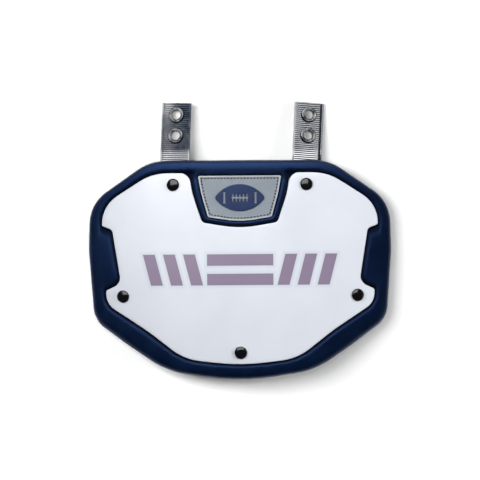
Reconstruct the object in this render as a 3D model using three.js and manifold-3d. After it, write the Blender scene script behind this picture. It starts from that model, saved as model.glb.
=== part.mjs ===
// Football back plate, lying on its back: a foam pad bent to fit the lower back, a hard face plate riveted into
// its rounded rim, a rubber badge in a foam frame, and two ribbed straps with eyelets that hang it from a set of
// shoulder pads. Millimetres, +Z up, +Y towards the straps. The origin is under the middle of the whole part.
import * as THREE from 'three';
import { mergeVertices } from 'three/addons/utils/BufferGeometryUtils.js';
import Module from 'manifold-3d';

const wasm = await Module();
wasm.setup();

// Pad: outline, bend and thickness. Heights h are measured from the plate's face along the bent pad's normal.
const PAD_WIDTH = 302;
const PAD_HEIGHT = 218.4;
const PAD_THICKNESS = 20; // plate's face to pad's back
const BODY_RADIUS = 360; // bend across the wearer's back
const SPINE_RADIUS = 900; // bend along the spine
const RIM_RISE = 2.4; // rim's crest above the plate's face
const WAIST_DEPTH = 4; // where the rim's side stands out furthest, below the plate's face
const FOOT_PRESS = 2.6; // how far each side edge is flattened by the surface under it

// Face plate
const PLATE_THICKNESS = 3;
const EDGE_GAP = 1; // between the plate's edge and the foam that stands up beside it
const TAB_ROUND = 12; // the plate's corner between its top edge and the badge notch
const NOTCH_TIP_ROUND = 1.2;
const SEAT_GAP = 0.4; // between pieces that touch
const BENT_GAP = 0.6; // where a flat piece touches a bent one

// Foam bumps that stand up through the plate's side notches
const BUMP_RISE = 1.6;
const BUMP_ROOT = 6; // how far a bump runs on under the rim

// Badge and the foam frame round it
const BADGE_WIDTH = 83.2;
const BADGE_HEIGHT = 44.2;
const BADGE_DROP = 15.5; // pad's top edge to badge's top edge
const BADGE_FACE_DEPTH = 0.6; // badge's panel below the plate's face
const BADGE_THICKNESS = 2;
const BADGE_BORDER = 1.3;
const BADGE_BORDER_RISE = 0.5;
const BADGE_GAP = 0.5;
const FRAME_SIDE = 8.9; // foam left and right of the badge
const FRAME_FOOT = 6.7; // foam below it
const FRAME_RISE = 2.4;
const MOTIF_WIDTH = 50; // a plain ball with laces, raised on the badge
const MOTIF_HEIGHT = 27;
const MOTIF_RISE = 0.9;
const LACE_WIDTH = 1.5;
const LACE_RUN = 17; // the long slot
const LACE_CROSS = 7.5; // the short slots
const LACE_COUNT = 5;
const BAND_PLACE = 0.62; // the ball's end bands, as a share of half its width
const BAND_WIDTH = 2.2;
const BAND_REACH = 0.62; // of the ball's depth there, so that the ball stays one piece

// Rivets
const RIVET_HEAD_RADIUS = 6;
const RIVET_HEAD_RISE = 3;
const RIVET_SHANK_RADIUS = 2.4;
const RIVET_FOOT_RADIUS = 5.5;
const RIVET_FOOT_THICKNESS = 1.2;

// Straps and eyelets
const STRAP_WIDTH = 29.4;
const STRAP_THICKNESS = 1.6; // without its ribs
const STRAP_REACH = 85; // rivet to tip
const STRAP_SHIFT = 3.3; // outwards from its rivet's hole to its middle
const STRAP_TAIL = 12; // below the rivet
const STRAP_DROOP = THREE.MathUtils.degToRad(3);
const STRAP_BEND_START = 27; // from the rivet
const STRAP_BEND_LENGTH = 14;
const RIB_PITCH = 2;
const RIB_RISE = 0.5;
const EYELET_BORE_RADIUS = 4.4;
const EYELET_WALL = 0.6;
const EYELET_FLANGE_RADIUS = 7.8;
const EYELET_FLANGE_RISE = 1.6;
const EYELET_FOOT_RADIUS = 7.4;
const EYELET_FOOT_THICKNESS = 0.9;
const EYELET_FROM_TIP = 12.3;
const EYELET_SPACING = 20.9;

// Both straps swing a little to the right on their rivets, seen from above.
const STRAPS = {
  left: { rivet: 'rivet_top_left', outwards: -1, lean: THREE.MathUtils.degToRad(2.1) },
  right: { rivet: 'rivet_top_right', outwards: 1, lean: THREE.MathUtils.degToRad(3.5) },
};

// How finely the round stretches and the bent surfaces are drawn
const ARC_STEP = THREE.MathUtils.degToRad(16);
const SIDE_STEP = 28;
const CELL = 20;
const RING_STEP = 30;
const BADGE_RINGS = 2; // under the badge
const LATHE_SIDES = 12;
const CUTTER_REACH = 60; // above and below the plate's face

const HALF_WIDTH = PAD_WIDTH / 2;
const HALF_HEIGHT = PAD_HEIGHT / 2;

// Corners from the top to the bottom of the right half. x is a share of half the pad's width, y and round are
// shares of half its height. Each corner of the pad faces the corner of the plate in the same row.
const CORNERS = [
  { pad: { x: 0.589, y: 1, round: 0.458 }, plate: { x: 0.581, y: 0.885, round: 0.47 } },
  { pad: { x: 0.993, y: 0.614, round: 0.366 }, plate: { x: 0.921, y: 0.584, round: 0.3 } },
  { pad: { x: 1.002, y: 0.183, round: 1.374 }, plate: { x: 0.903, y: 0.183, round: 1.374 } },
  { pad: { x: 0.967, y: -0.458, round: 0.247 }, plate: { x: 0.885, y: -0.311, round: 0.165 } },
  { pad: { x: 0.732, y: -0.697, round: 0.9 }, plate: { x: 0.613, y: -0.558, round: 1.83 } },
  { pad: { x: 0.49, y: -0.925, round: 0.824 }, plate: { x: 0.375, y: -0.815, round: 0.504 } },
  { pad: { x: 0, y: -1.028, round: 2.784 }, plate: { x: 0, y: -0.879, round: 2.656 } },
];
const SIDE_ROW = 2; // the row that the plate's side notch replaces

// The plate's side notch, from its top to its bottom, in the same shares.
const SIDE_NOTCH = [
  { x: 0.91, y: 0.405, round: NOTCH_TIP_ROUND / HALF_HEIGHT },
  { x: 0.846, y: 0.37, round: 0.046 },
  { x: 0.79, y: -0.119, round: 0.09 },
  { x: 0.888, y: -0.184, round: NOTCH_TIP_ROUND / HALF_HEIGHT },
];

// The badge's corners. x is a share of half its width, down and round are shares of its height. side and foot are
// how much of the frame's width lies outside that corner, and notchRound is the plate's round there.
const BADGE_CORNERS = [
  { x: 1, down: 0, round: 0.036, side: 1, foot: 0, notchRound: TAB_ROUND / BADGE_HEIGHT },
  { x: 0.928, down: 0.391, round: 2.94, side: 1, foot: 0, notchRound: 2.71 },
  { x: 0.752, down: 0.934, round: 0.045, side: 0.65, foot: 0.8, notchRound: 0.113 },
  { x: 0, down: 1.066, round: 3.28, side: 0, foot: 1, notchRound: 3.35 },
];

// The rim's section from the pad's back edge to its crest and down to the plate. across is the share of the way
// from the pad's outline to the plate's edge, and rise a share of RIM_RISE or, where it is negative, of the depth.
const RIM_SECTION = [
  { across: 0.14, rise: -1 },
  { across: 0, rise: -0.86 },
  { across: 0, rise: -WAIST_DEPTH / PAD_THICKNESS },
  { across: 0.1, rise: -0.03 },
  { across: 0.26, rise: 0.75 },
  { across: 0.48, rise: 1 },
  { across: 0.7, rise: 0.55 },
  { across: 0.87, rise: -0.03 },
];

// The badge frame's section from the plate's side to the badge's side, and a bump's from its edge to its middle.
const FRAME_SECTION = [
  { across: 0.1, rise: 0.1 },
  { across: 0.28, rise: 0.75 },
  { across: 0.52, rise: 1 },
  { across: 0.8, rise: 0.8 },
];
const BUMP_SECTION = [
  { across: 0.12, rise: 0.2 },
  { across: 0.32, rise: 0.75 },
  { across: 0.6, rise: 1 },
];

const RIVETS = {
  rivet_top_left: { x: -0.44, y: 0.776, strap: true },
  rivet_top_right: { x: 0.44, y: 0.776, strap: true },
  rivet_side_left: { x: -0.774, y: -0.239, strap: false },
  rivet_side_right: { x: 0.774, y: -0.239, strap: false },
  rivet_bottom: { x: 0, y: -0.758, strap: false },
};

const foam = new THREE.MeshStandardMaterial({ color: 0x14264f, roughness: 0.85, metalness: 0 });
const hardWhite = new THREE.MeshStandardMaterial({ color: 0xe9ebf2, roughness: 0.3, metalness: 0 });
const blackEnamel = new THREE.MeshStandardMaterial({ color: 0x08080a, roughness: 0.2, metalness: 0.4 });
const smokedVinyl = new THREE.MeshStandardMaterial({ color: 0x555b68, roughness: 0.25, metalness: 0 });
const gunmetal = new THREE.MeshStandardMaterial({ color: 0x8d8f90, roughness: 0.25, metalness: 1 });
const greyRubber = new THREE.MeshStandardMaterial({ color: 0x959ca6, roughness: 0.6, metalness: 0 });
const navyRubber = new THREE.MeshStandardMaterial({ color: 0x1f3263, roughness: 0.6, metalness: 0 });

// The pad's normal over a place seen from above at the height of the plate's face.
function normalAt(x, y) {
  const across = x / BODY_RADIUS;
  const along = y / SPINE_RADIUS;
  return new THREE.Vector3(across, along, Math.sqrt(1 - across * across - along * along));
}

// How far the bent face has dropped there below its middle.
function dropAt(x, y) {
  return (
    BODY_RADIUS - Math.sqrt(BODY_RADIUS ** 2 - x * x) + SPINE_RADIUS - Math.sqrt(SPINE_RADIUS ** 2 - y * y)
  );
}

// A flat outline that is as wide as it looks from above at the height h, as its places at the face.
function atFace([x, y], h) {
  return [(x * BODY_RADIUS) / (BODY_RADIUS + h), (y * SPINE_RADIUS) / (SPINE_RADIUS + h)];
}

// The face's middle stands this high, so that the back's side edges press FOOT_PRESS into the surface below.
const [FOOT_X] = atFace([HALF_WIDTH, 0], -WAIST_DEPTH);
const FACE_HEIGHT = dropAt(FOOT_X, 0) + PAD_THICKNESS * normalAt(FOOT_X, 0).z - FOOT_PRESS;

function bend(x, y, h) {
  return new THREE.Vector3(x, y, FACE_HEIGHT - dropAt(x, y)).addScaledVector(normalAt(x, y), h);
}

// Both halves of an outline, anticlockwise from above, from the rows of its right half from top to bottom.
function mirrored(rows) {
  const left = rows.map(([x, y, round]) => [-x, y, round]);
  const right = rows.filter(([x]) => x !== 0).reverse();
  return [...left, ...right];
}

// Moves each side of an anticlockwise outline inwards by a distance, or outwards if it is negative.
function insetCorners(corners, distance) {
  return corners.map(([x, y, round], i) => {
    const [before, after] = [corners.at(i - 1), corners[(i + 1) % corners.length]];
    const into = new THREE.Vector2(x - before[0], y - before[1]).normalize();
    const away = new THREE.Vector2(after[0] - x, after[1] - y).normalize();
    const turnsLeft = Math.sign(into.cross(away)) || 1;
    const reach = distance / (1 + into.dot(away));
    const newRound = Math.max(round - turnsLeft * distance, NOTCH_TIP_ROUND / 2);
    return [x - (into.y + away.y) * reach, y + (into.x + away.x) * reach, newRound];
  });
}

// A corner's round stretch: where it starts and ends, its centre and its turn.
function fillet(before, [x, y, round], after) {
  const corner = new THREE.Vector2(x, y);
  const into = new THREE.Vector2(x - before[0], y - before[1]);
  const away = new THREE.Vector2(after[0] - x, after[1] - y);
  const room = 0.48 * Math.min(into.length(), away.length());
  into.normalize();
  away.normalize();
  const turn = Math.atan2(into.cross(away), into.dot(away));
  const half = Math.max(Math.abs(Math.tan(turn / 2)), 1e-4);
  const tangent = Math.min(round * half, room);
  const radius = tangent / half;
  const start = corner.clone().addScaledVector(into, -tangent);
  const inward = new THREE.Vector2(-into.y, into.x).multiplyScalar(Math.sign(turn) || 1);
  return { start, turn, centre: start.clone().addScaledVector(inward, radius) };
}

// How many steps each corner's round stretch and the side after it take.
function planOf(corners) {
  return corners.map((corner, i) => {
    const after = corners[(i + 1) % corners.length];
    const { turn } = fillet(corners.at(i - 1), corner, after);
    const length = Math.hypot(after[0] - corner[0], after[1] - corner[1]);
    return { arc: Math.max(1, Math.ceil(Math.abs(turn) / ARC_STEP)), side: Math.ceil(length / SIDE_STEP) };
  });
}

// The outline's points. Two outlines drawn with one plan match point for point.
function roundedOutline(corners, plan = planOf(corners)) {
  const arcs = corners.map((corner, i) => {
    const { start, turn, centre } = fillet(corners.at(i - 1), corner, corners[(i + 1) % corners.length]);
    return Array.from({ length: plan[i].arc + 1 }, (_, k) => {
      const point = start.clone().rotateAround(centre, (turn * k) / plan[i].arc);
      return [point.x, point.y];
    });
  });
  return arcs.flatMap((arc, i) => {
    const next = arcs[(i + 1) % arcs.length][0];
    const between = Array.from({ length: plan[i].side - 1 }, (_, k) =>
      mix(arc.at(-1), next, (k + 1) / plan[i].side),
    );
    return [...arc, ...between];
  });
}

function mix([x0, y0], [x1, y1], share) {
  return [x0 + (x1 - x0) * share, y0 + (y1 - y0) * share];
}

// A closed bent solid through rings of as many points each, from the middle of its underside to the middle of its
// top. Nothing of it goes below the surface that the part lies on.
function mould(rings, middle, bottom, top) {
  const count = rings[0].points.length;
  const places = [
    bend(...middle, bottom),
    ...rings.flatMap(({ points, h }) => points.map(([x, y]) => bend(x, y, h))),
    bend(...middle, top),
  ];
  places.forEach((place) => (place.z = Math.max(place.z, 0)));
  const index = [];
  const at = (ring, i) => 1 + ring * count + (i % count);
  for (let i = 0; i < count; i++) {
    index.push(0, at(0, i + 1), at(0, i));
    for (let ring = 0; ring < rings.length - 1; ring++) {
      const [a, b, c, d] = [at(ring, i), at(ring, i + 1), at(ring + 1, i + 1), at(ring + 1, i)];
      index.push(a, b, c, a, c, d);
    }
    index.push(places.length - 1, at(rings.length - 1, i), at(rings.length - 1, i + 1));
  }
  return new THREE.BufferGeometry().setFromPoints(places).setIndex(index);
}

// Rings that shrink from an outline towards a middle, without the middle itself.
function shrinking(points, middle, h, count) {
  return Array.from({ length: count }, (_, k) => ({
    points: points.map((point) => mix(point, middle, (k + 1) / (count + 1))),
    h,
  }));
}

// Bends a flat geometry whose z is the height h.
function bent(geometry) {
  const position = geometry.attributes.position;
  for (let i = 0; i < position.count; i++) {
    const place = bend(position.getX(i), position.getY(i), position.getZ(i));
    position.setXYZ(i, place.x, place.y, place.z);
  }
  return geometry;
}

// A bent sheet between two heights, cut into cells.
function sheet(width, height, low, high) {
  const cells = [Math.ceil(width / CELL), Math.ceil(height / CELL)];
  const box = new THREE.BoxGeometry(width, height, high - low, ...cells, 1);
  return bent(box.translate(0, 0, (high + low) / 2));
}

// What stands over and under an outline, for cutting a sheet to that outline.
function cutter(points) {
  const shape = new THREE.Shape(points.map(([x, y]) => new THREE.Vector2(x, y)));
  const prism = new THREE.ExtrudeGeometry(shape, { depth: 2 * CUTTER_REACH, bevelEnabled: false });
  return bent(prism.translate(0, 0, -CUTTER_REACH));
}

function solidOf(geometry) {
  const bare = geometry.clone();
  bare.deleteAttribute('normal');
  bare.deleteAttribute('uv');
  const merged = mergeVertices(bare, 1e-4);
  const vertProperties = new Float32Array(merged.attributes.position.array);
  const triVerts = new Uint32Array(merged.index.array);
  return new wasm.Manifold(new wasm.Mesh({ numProp: 3, vertProperties, triVerts }));
}

function geometryOf(solid) {
  const { vertProperties, triVerts } = solid.getMesh();
  const geometry = new THREE.BufferGeometry();
  geometry.setAttribute('position', new THREE.BufferAttribute(vertProperties, 3));
  geometry.setIndex(new THREE.BufferAttribute(triVerts, 1));
  geometry.computeVertexNormals();
  return geometry;
}

function named(name, geometry, material) {
  const mesh = new THREE.Mesh(geometry, material);
  mesh.name = name;
  return mesh;
}

// Stands a frame on the bent pad. Its Z is the pad's normal, and its Y leans by an angle as seen from above.
function standingAt(x, y, h, lean = 0) {
  const up = normalAt(x, y);
  const along = new THREE.Vector3(Math.sin(lean), Math.cos(lean), 0);
  along.setZ(-along.dot(up) / up.z).normalize();
  const across = new THREE.Vector3().crossVectors(along, up);
  return new THREE.Matrix4().makeBasis(across, along, up).setPosition(bend(x, y, h));
}

// A turned piece whose axis is its frame's Z, from [radius, height] pairs.
function turned(profile) {
  const points = profile.map(([r, z]) => new THREE.Vector2(r, z));
  return new THREE.LatheGeometry(points, LATHE_SIDES).rotateX(Math.PI / 2);
}

const inPad = ({ x, y, round }) => [x * HALF_WIDTH, y * HALF_HEIGHT, round * HALF_HEIGHT];
const badgeTop = HALF_HEIGHT - BADGE_DROP;
const badgeMiddle = [0, badgeTop - BADGE_HEIGHT / 2];
const plateTop = CORNERS[0].plate.y * HALF_HEIGHT;
const frameTop = HALF_HEIGHT - BADGE_DROP / 2;
const fieldDepth = PLATE_THICKNESS + SEAT_GAP; // the foam under the plate
const badgeLow = BADGE_FACE_DEPTH + BADGE_THICKNESS;

// The badge's corner, and the corner of the plate's notch that faces it across the foam frame.
function badgeCorner({ x, down, round }) {
  return [(x * BADGE_WIDTH) / 2, badgeTop - down * BADGE_HEIGHT, round * BADGE_HEIGHT];
}

function notchCorner(row, i) {
  const [x, y] = badgeCorner(row);
  const notchY = i === 0 ? plateTop : y - row.foot * FRAME_FOOT;
  return [x + row.side * FRAME_SIDE, notchY, row.notchRound * BADGE_HEIGHT];
}

// The outline of one side's notch, drawn in by a distance. Its ends lie beyond the plate's edge.
function sideNotch(side, inset) {
  const [topTip, topInner, lowInner, lowTip] = SIDE_NOTCH.map(inPad);
  const beyond = (inner, tip) => {
    const length = Math.hypot(tip[0] - inner[0], tip[1] - inner[1]);
    return [...mix(inner, tip, 1 + BUMP_ROOT / length), NOTCH_TIP_ROUND];
  };
  const corners = [beyond(topInner, topTip), topInner, lowInner, beyond(lowInner, lowTip)];
  const outline = roundedOutline(insetCorners(corners, inset)).map(([x, y]) => [side * x, y]);
  return side < 0 ? outline.reverse() : outline;
}

// A bump fills a side notch and runs on under the rim.
function bump(side) {
  const outer = sideNotch(side, EDGE_GAP);
  const middle = outer.reduce((sum, [x, y]) => [sum[0] + x / outer.length, sum[1] + y / outer.length], [0, 0]);
  const rings = [
    { points: outer, h: -2 * fieldDepth },
    { points: outer, h: -fieldDepth / 2 },
    ...BUMP_SECTION.map(({ across, rise }) => ({
      points: outer.map((point) => mix(point, middle, across)),
      h: rise * BUMP_RISE,
    })),
  ];
  return mould(rings, middle, -2 * fieldDepth, BUMP_RISE);
}

// The frame and the badge are drawn with one plan, so that the badge fits its pocket evenly.
function framePlan() {
  return planOf(mirrored(BADGE_CORNERS.map(notchCorner)));
}

// The foam round the badge, with the pocket that the badge lies in.
function badgeFrame() {
  const plan = framePlan();
  const notch = BADGE_CORNERS.map(notchCorner);
  notch[0][1] = frameTop;
  const outer = roundedOutline(insetCorners(mirrored(notch), EDGE_GAP), plan);
  const inner = roundedOutline(insetCorners(mirrored(BADGE_CORNERS.map(badgeCorner)), -BADGE_GAP), plan);
  const pocket = -badgeLow - BENT_GAP;
  const rings = [
    { points: outer, h: -2 * fieldDepth },
    { points: outer, h: -fieldDepth / 2 },
    ...FRAME_SECTION.map(({ across, rise }) => ({
      points: outer.map((point, i) => mix(point, inner[i], across)),
      h: rise * FRAME_RISE,
    })),
    { points: inner, h: FRAME_RISE / 3 },
    { points: inner, h: pocket },
    ...shrinking(inner, badgeMiddle, pocket, BADGE_RINGS),
  ];
  return mould(rings, badgeMiddle, -2 * fieldDepth, pocket);
}

// The pad with its rim, before the rivets' bores.
function padBody() {
  const padCorners = mirrored(CORNERS.map(({ pad }) => inPad(pad)));
  const plan = planOf(padCorners);
  const outer = roundedOutline(padCorners, plan).map((point) => atFace(point, -WAIST_DEPTH));
  const seatCorners = insetCorners(mirrored(CORNERS.map(({ plate }) => inPad(plate))), -EDGE_GAP);
  const seat = roundedOutline(seatCorners, plan);
  const rim = RIM_SECTION.map(({ across, rise }) => ({
    points: outer.map((point, i) => mix(point, seat[i], across)),
    h: rise < 0 ? rise * PAD_THICKNESS : rise * RIM_RISE,
  }));
  const backRings = Math.ceil(HALF_WIDTH / RING_STEP);
  const rings = [
    ...shrinking(rim[0].points, [0, 0], -PAD_THICKNESS, backRings).reverse(),
    ...rim,
    { points: seat, h: -fieldDepth },
    ...shrinking(seat, [0, 0], -fieldDepth, backRings - 1),
  ];
  return mould(rings, [0, 0], -PAD_THICKNESS, -fieldDepth);
}

function rivetFrame({ x, y }) {
  return standingAt(x * HALF_WIDTH, y * HALF_HEIGHT, 0);
}

// What the five rivets take out of the pad and the plate.
function boreAll(solid) {
  const bore = new THREE.CylinderGeometry(
    RIVET_SHANK_RADIUS + SEAT_GAP,
    RIVET_SHANK_RADIUS + SEAT_GAP,
    2 * CUTTER_REACH,
    LATHE_SIDES,
  ).rotateX(Math.PI / 2);
  return Object.values(RIVETS).reduce(
    (rest, rivet) => rest.subtract(solidOf(bore.clone().applyMatrix4(rivetFrame(rivet)))),
    solid,
  );
}

function foamPad() {
  const raised = [badgeFrame(), bump(1), bump(-1)];
  const whole = raised.reduce((pad, piece) => pad.add(solidOf(piece)), solidOf(padBody()));
  return named('foam_pad', geometryOf(boreAll(whole)), foam);
}

// What the badge notch takes out of the plate. It flares at the top, which leaves the plate's tabs rounded.
function badgeNotch() {
  const notch = BADGE_CORNERS.map(notchCorner);
  const [[x]] = notch;
  const lip = plateTop + SEAT_GAP;
  notch[0][1] = lip;
  const flare = [x + 2 * TAB_ROUND, lip, NOTCH_TIP_ROUND];
  const above = [x + 2 * TAB_ROUND, HALF_HEIGHT, NOTCH_TIP_ROUND];
  return roundedOutline(mirrored([above, flare, ...notch]));
}

function facePlate() {
  const outline = roundedOutline(mirrored(CORNERS.map(({ plate }) => inPad(plate))));
  const notches = [badgeNotch(), sideNotch(1, 0), sideNotch(-1, 0)];
  const blank = solidOf(sheet(PAD_WIDTH, PAD_HEIGHT, -PLATE_THICKNESS, 0));
  const whole = blank.intersect(solidOf(cutter(outline)));
  const notched = notches.reduce((plate, notch) => plate.subtract(solidOf(cutter(notch))), whole);
  return named('face_plate', geometryOf(boreAll(notched)), hardWhite);
}

function badge() {
  const corners = mirrored(BADGE_CORNERS.map(badgeCorner));
  const plan = framePlan();
  const edge = roundedOutline(corners, plan);
  const borderEdge = roundedOutline(insetCorners(corners, BADGE_BORDER), plan);
  const panelEdge = roundedOutline(insetCorners(corners, BADGE_BORDER + BADGE_BORDER_RISE), plan);
  const borderTop = BADGE_BORDER_RISE - BADGE_FACE_DEPTH;
  const rings = [
    ...shrinking(edge, badgeMiddle, -badgeLow, BADGE_RINGS).reverse(),
    { points: edge, h: -badgeLow },
    { points: edge, h: borderTop },
    { points: borderEdge, h: borderTop },
    { points: panelEdge, h: -BADGE_FACE_DEPTH },
    ...shrinking(panelEdge, badgeMiddle, -BADGE_FACE_DEPTH, 1),
  ];
  return named('badge', mould(rings, badgeMiddle, -badgeLow, -BADGE_FACE_DEPTH), greyRubber);
}

// The ball's half depth at a share of half its width: two arcs that meet in a point at each end.
function ballDepth(share) {
  const half = MOTIF_HEIGHT / 2;
  const radius = (MOTIF_WIDTH ** 2 / 4 + half ** 2) / (2 * half);
  const x = (share * MOTIF_WIDTH) / 2;
  return Math.sqrt(radius * radius - x * x) - radius + half;
}

function rectangle(x, y, width, height) {
  const [w, h] = [width / 2, height / 2];
  return [
    [x - w, y - h],
    [x + w, y - h],
    [x + w, y + h],
    [x - w, y + h],
  ];
}

// A plain ball: a lens with slots for its laces and its two end bands.
function badgeMotif() {
  const steps = 10;
  const bluntEnd = 0.97;
  const shares = Array.from({ length: steps + 1 }, (_, k) => bluntEnd * ((2 * k) / steps - 1));
  const [middleX, middleY] = badgeMiddle;
  const lower = shares.map((share) => [middleX + (share * MOTIF_WIDTH) / 2, middleY - ballDepth(share)]);
  const upper = lower.map(([x, y]) => [x, 2 * middleY - y]).reverse();
  const crossings = Array.from(
    { length: LACE_COUNT },
    (_, k) => (k / (LACE_COUNT - 1) - 0.5) * (LACE_RUN - 2 * LACE_WIDTH),
  );
  const bandX = (BAND_PLACE * MOTIF_WIDTH) / 2;
  const bandTall = 2 * BAND_REACH * ballDepth(BAND_PLACE);
  const slots = [
    rectangle(middleX, middleY, LACE_RUN, LACE_WIDTH),
    ...crossings.map((x) => rectangle(middleX + x, middleY, LACE_WIDTH, LACE_CROSS)),
    rectangle(middleX - bandX, middleY, BAND_WIDTH, bandTall),
    rectangle(middleX + bandX, middleY, BAND_WIDTH, bandTall),
  ];
  const low = SEAT_GAP - BADGE_FACE_DEPTH;
  const blank = solidOf(sheet(PAD_WIDTH, PAD_HEIGHT, low, low + MOTIF_RISE));
  const ball = blank.intersect(solidOf(cutter([...lower, ...upper])));
  const cut = slots.reduce((rest, slot) => rest.subtract(solidOf(cutter(slot))), ball);
  return named('badge_motif', geometryOf(cut), navyRubber);
}

const strapDepth = STRAP_THICKNESS + RIB_RISE;

// How far a bent surface drops away over a distance.
function sag(distance, radius) {
  return radius - Math.sqrt(radius ** 2 - distance ** 2);
}

// The strap lies flat under the bent pad, so only its sides and its bend come close.
const strapGap =
  SEAT_GAP +
  sag(STRAP_WIDTH / 2 + STRAP_SHIFT, BODY_RADIUS - PAD_THICKNESS) +
  sag(STRAP_BEND_START, SPINE_RADIUS - PAD_THICKNESS);

// A black dome on the plate, a shank, and a foot on the pad's back or on the strap that it holds there.
function rivet(name, place) {
  const held = PAD_THICKNESS + BENT_GAP + (place.strap ? strapDepth + strapGap : 0);
  const dome = [1, 0.88, 0.62, 0.32].map((share) => [
    RIVET_HEAD_RADIUS * share,
    SEAT_GAP + RIVET_HEAD_RISE * (0.25 + 0.75 * Math.sqrt(1 - share * share)),
  ]);
  const profile = [
    [0, -held - RIVET_FOOT_THICKNESS],
    [RIVET_FOOT_RADIUS, -held - RIVET_FOOT_THICKNESS],
    [RIVET_FOOT_RADIUS, -held],
    [RIVET_SHANK_RADIUS, -held],
    [RIVET_SHANK_RADIUS, SEAT_GAP],
    [RIVET_HEAD_RADIUS, SEAT_GAP],
    ...dome,
    [0, SEAT_GAP + RIVET_HEAD_RISE],
  ];
  const mesh = named(name, turned(profile), blackEnamel);
  mesh.applyMatrix4(rivetFrame(place));
  return mesh;
}

// A place on the strap's upper face: how far along and below it lies, and how far the strap has turned down there.
function strapPlace(s) {
  const bentPart = THREE.MathUtils.clamp((s - STRAP_BEND_START) / STRAP_BEND_LENGTH, 0, 1);
  const turn = STRAP_DROOP * bentPart;
  const radius = STRAP_BEND_LENGTH / STRAP_DROOP;
  const past = Math.max(0, s - STRAP_BEND_START - STRAP_BEND_LENGTH);
  const before = Math.min(s, STRAP_BEND_START);
  return {
    along: before + radius * Math.sin(turn) + past * Math.cos(turn),
    below: radius * (1 - Math.cos(turn)) + past * Math.sin(turn),
    turn,
  };
}

// The strap's side view, ribbed above and plain below, drawn along its length.
function strapProfile() {
  const raised = (s, h) => {
    const { along, below, turn } = strapPlace(s);
    return new THREE.Vector2(along + h * Math.sin(turn), h * Math.cos(turn) - below);
  };
  const ribs = Math.floor((STRAP_REACH + STRAP_TAIL) / RIB_PITCH);
  const start = STRAP_REACH - ribs * RIB_PITCH;
  const above = Array.from({ length: ribs }, (_, k) => {
    const s = start + k * RIB_PITCH;
    return [raised(s, -RIB_RISE), raised(s + RIB_PITCH / 2, 0)];
  }).flat();
  const bendSteps = 4;
  const bends = Array.from(
    { length: bendSteps + 1 },
    (_, k) => STRAP_BEND_START + (STRAP_BEND_LENGTH * k) / bendSteps,
  );
  const under = [STRAP_REACH, ...bends.reverse(), start].map((s) => raised(s, -strapDepth));
  return new THREE.Shape([...above, raised(STRAP_REACH, -RIB_RISE), ...under]);
}

function eyeletMatrix(s) {
  const { along, below, turn } = strapPlace(s);
  return new THREE.Matrix4().makeRotationX(-turn).setPosition(0, along, -below);
}

const eyeletStations = {
  far: STRAP_REACH - EYELET_FROM_TIP,
  near: STRAP_REACH - EYELET_FROM_TIP - EYELET_SPACING,
};

function strapGeometry(shift) {
  const ribbon = new THREE.ExtrudeGeometry(strapProfile(), { depth: STRAP_WIDTH, bevelEnabled: false });
  // The profile's x runs along the strap and its y upwards, so it is stood up and turned to the frame's Y and Z.
  const upright = new THREE.Matrix4().makeBasis(
    new THREE.Vector3(0, 1, 0),
    new THREE.Vector3(0, 0, 1),
    new THREE.Vector3(1, 0, 0),
  );
  ribbon.applyMatrix4(upright).translate(-STRAP_WIDTH / 2, 0, 0);
  const hole = (radius, matrix) =>
    solidOf(
      new THREE.CylinderGeometry(radius, radius, 6 * strapDepth, LATHE_SIDES)
        .rotateX(Math.PI / 2)
        .applyMatrix4(matrix),
    );
  const rivetPlace = new THREE.Matrix4().makeTranslation(-shift, 0, 0);
  const bored = Object.values(eyeletStations).reduce(
    (rest, s) => rest.subtract(hole(EYELET_BORE_RADIUS + EYELET_WALL + SEAT_GAP, eyeletMatrix(s))),
    solidOf(ribbon).subtract(hole(RIVET_SHANK_RADIUS + SEAT_GAP, rivetPlace)),
  );
  return geometryOf(bored);
}

// A ring with a rolled flange above the strap, a barrel through it and a flat foot below it.
function eyeletGeometry() {
  const barrel = EYELET_BORE_RADIUS + EYELET_WALL;
  const low = -strapDepth - SEAT_GAP;
  const foot = low - EYELET_FOOT_THICKNESS;
  const roll = (EYELET_FLANGE_RADIUS + EYELET_BORE_RADIUS) / 2;
  return turned([
    [EYELET_BORE_RADIUS, foot],
    [EYELET_FOOT_RADIUS, foot],
    [EYELET_FOOT_RADIUS, low],
    [barrel, low],
    [barrel, SEAT_GAP],
    [EYELET_FLANGE_RADIUS, SEAT_GAP],
    [EYELET_FLANGE_RADIUS - EYELET_WALL, SEAT_GAP + 0.7 * EYELET_FLANGE_RISE],
    [roll, SEAT_GAP + EYELET_FLANGE_RISE],
    [EYELET_BORE_RADIUS + EYELET_WALL / 2, SEAT_GAP + 0.7 * EYELET_FLANGE_RISE],
    [EYELET_BORE_RADIUS, foot],
  ]);
}

function strapWithEyelets([side, { rivet: holder, outwards, lean }]) {
  const group = new THREE.Group();
  const { x, y } = RIVETS[holder];
  const shift = outwards * STRAP_SHIFT;
  const atRivet = standingAt(x * HALF_WIDTH, y * HALF_HEIGHT, -PAD_THICKNESS - strapGap, lean);
  group.applyMatrix4(atRivet.multiply(new THREE.Matrix4().makeTranslation(shift, 0, 0)));
  group.add(named(`strap_${side}`, strapGeometry(shift), smokedVinyl));
  Object.entries(eyeletStations).forEach(([station, s]) => {
    const mesh = named(`eyelet_${side}_${station}`, eyeletGeometry(), gunmetal);
    mesh.applyMatrix4(eyeletMatrix(s));
    group.add(mesh);
  });
  return group;
}

const backPlate = new THREE.Group();
backPlate.add(
  foamPad(),
  facePlate(),
  badge(),
  badgeMotif(),
  ...Object.entries(RIVETS).map(([name, place]) => rivet(name, place)),
  ...Object.entries(STRAPS).map(strapWithEyelets),
);

// The straps reach past the pad, so the middle of the whole part lies above the middle of the pad.
const bounds = new THREE.Box3().setFromObject(backPlate, true);
const centre = bounds.getCenter(new THREE.Vector3());
backPlate.position.set(-centre.x, -centre.y, -bounds.min.z);

export default backPlate;
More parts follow.
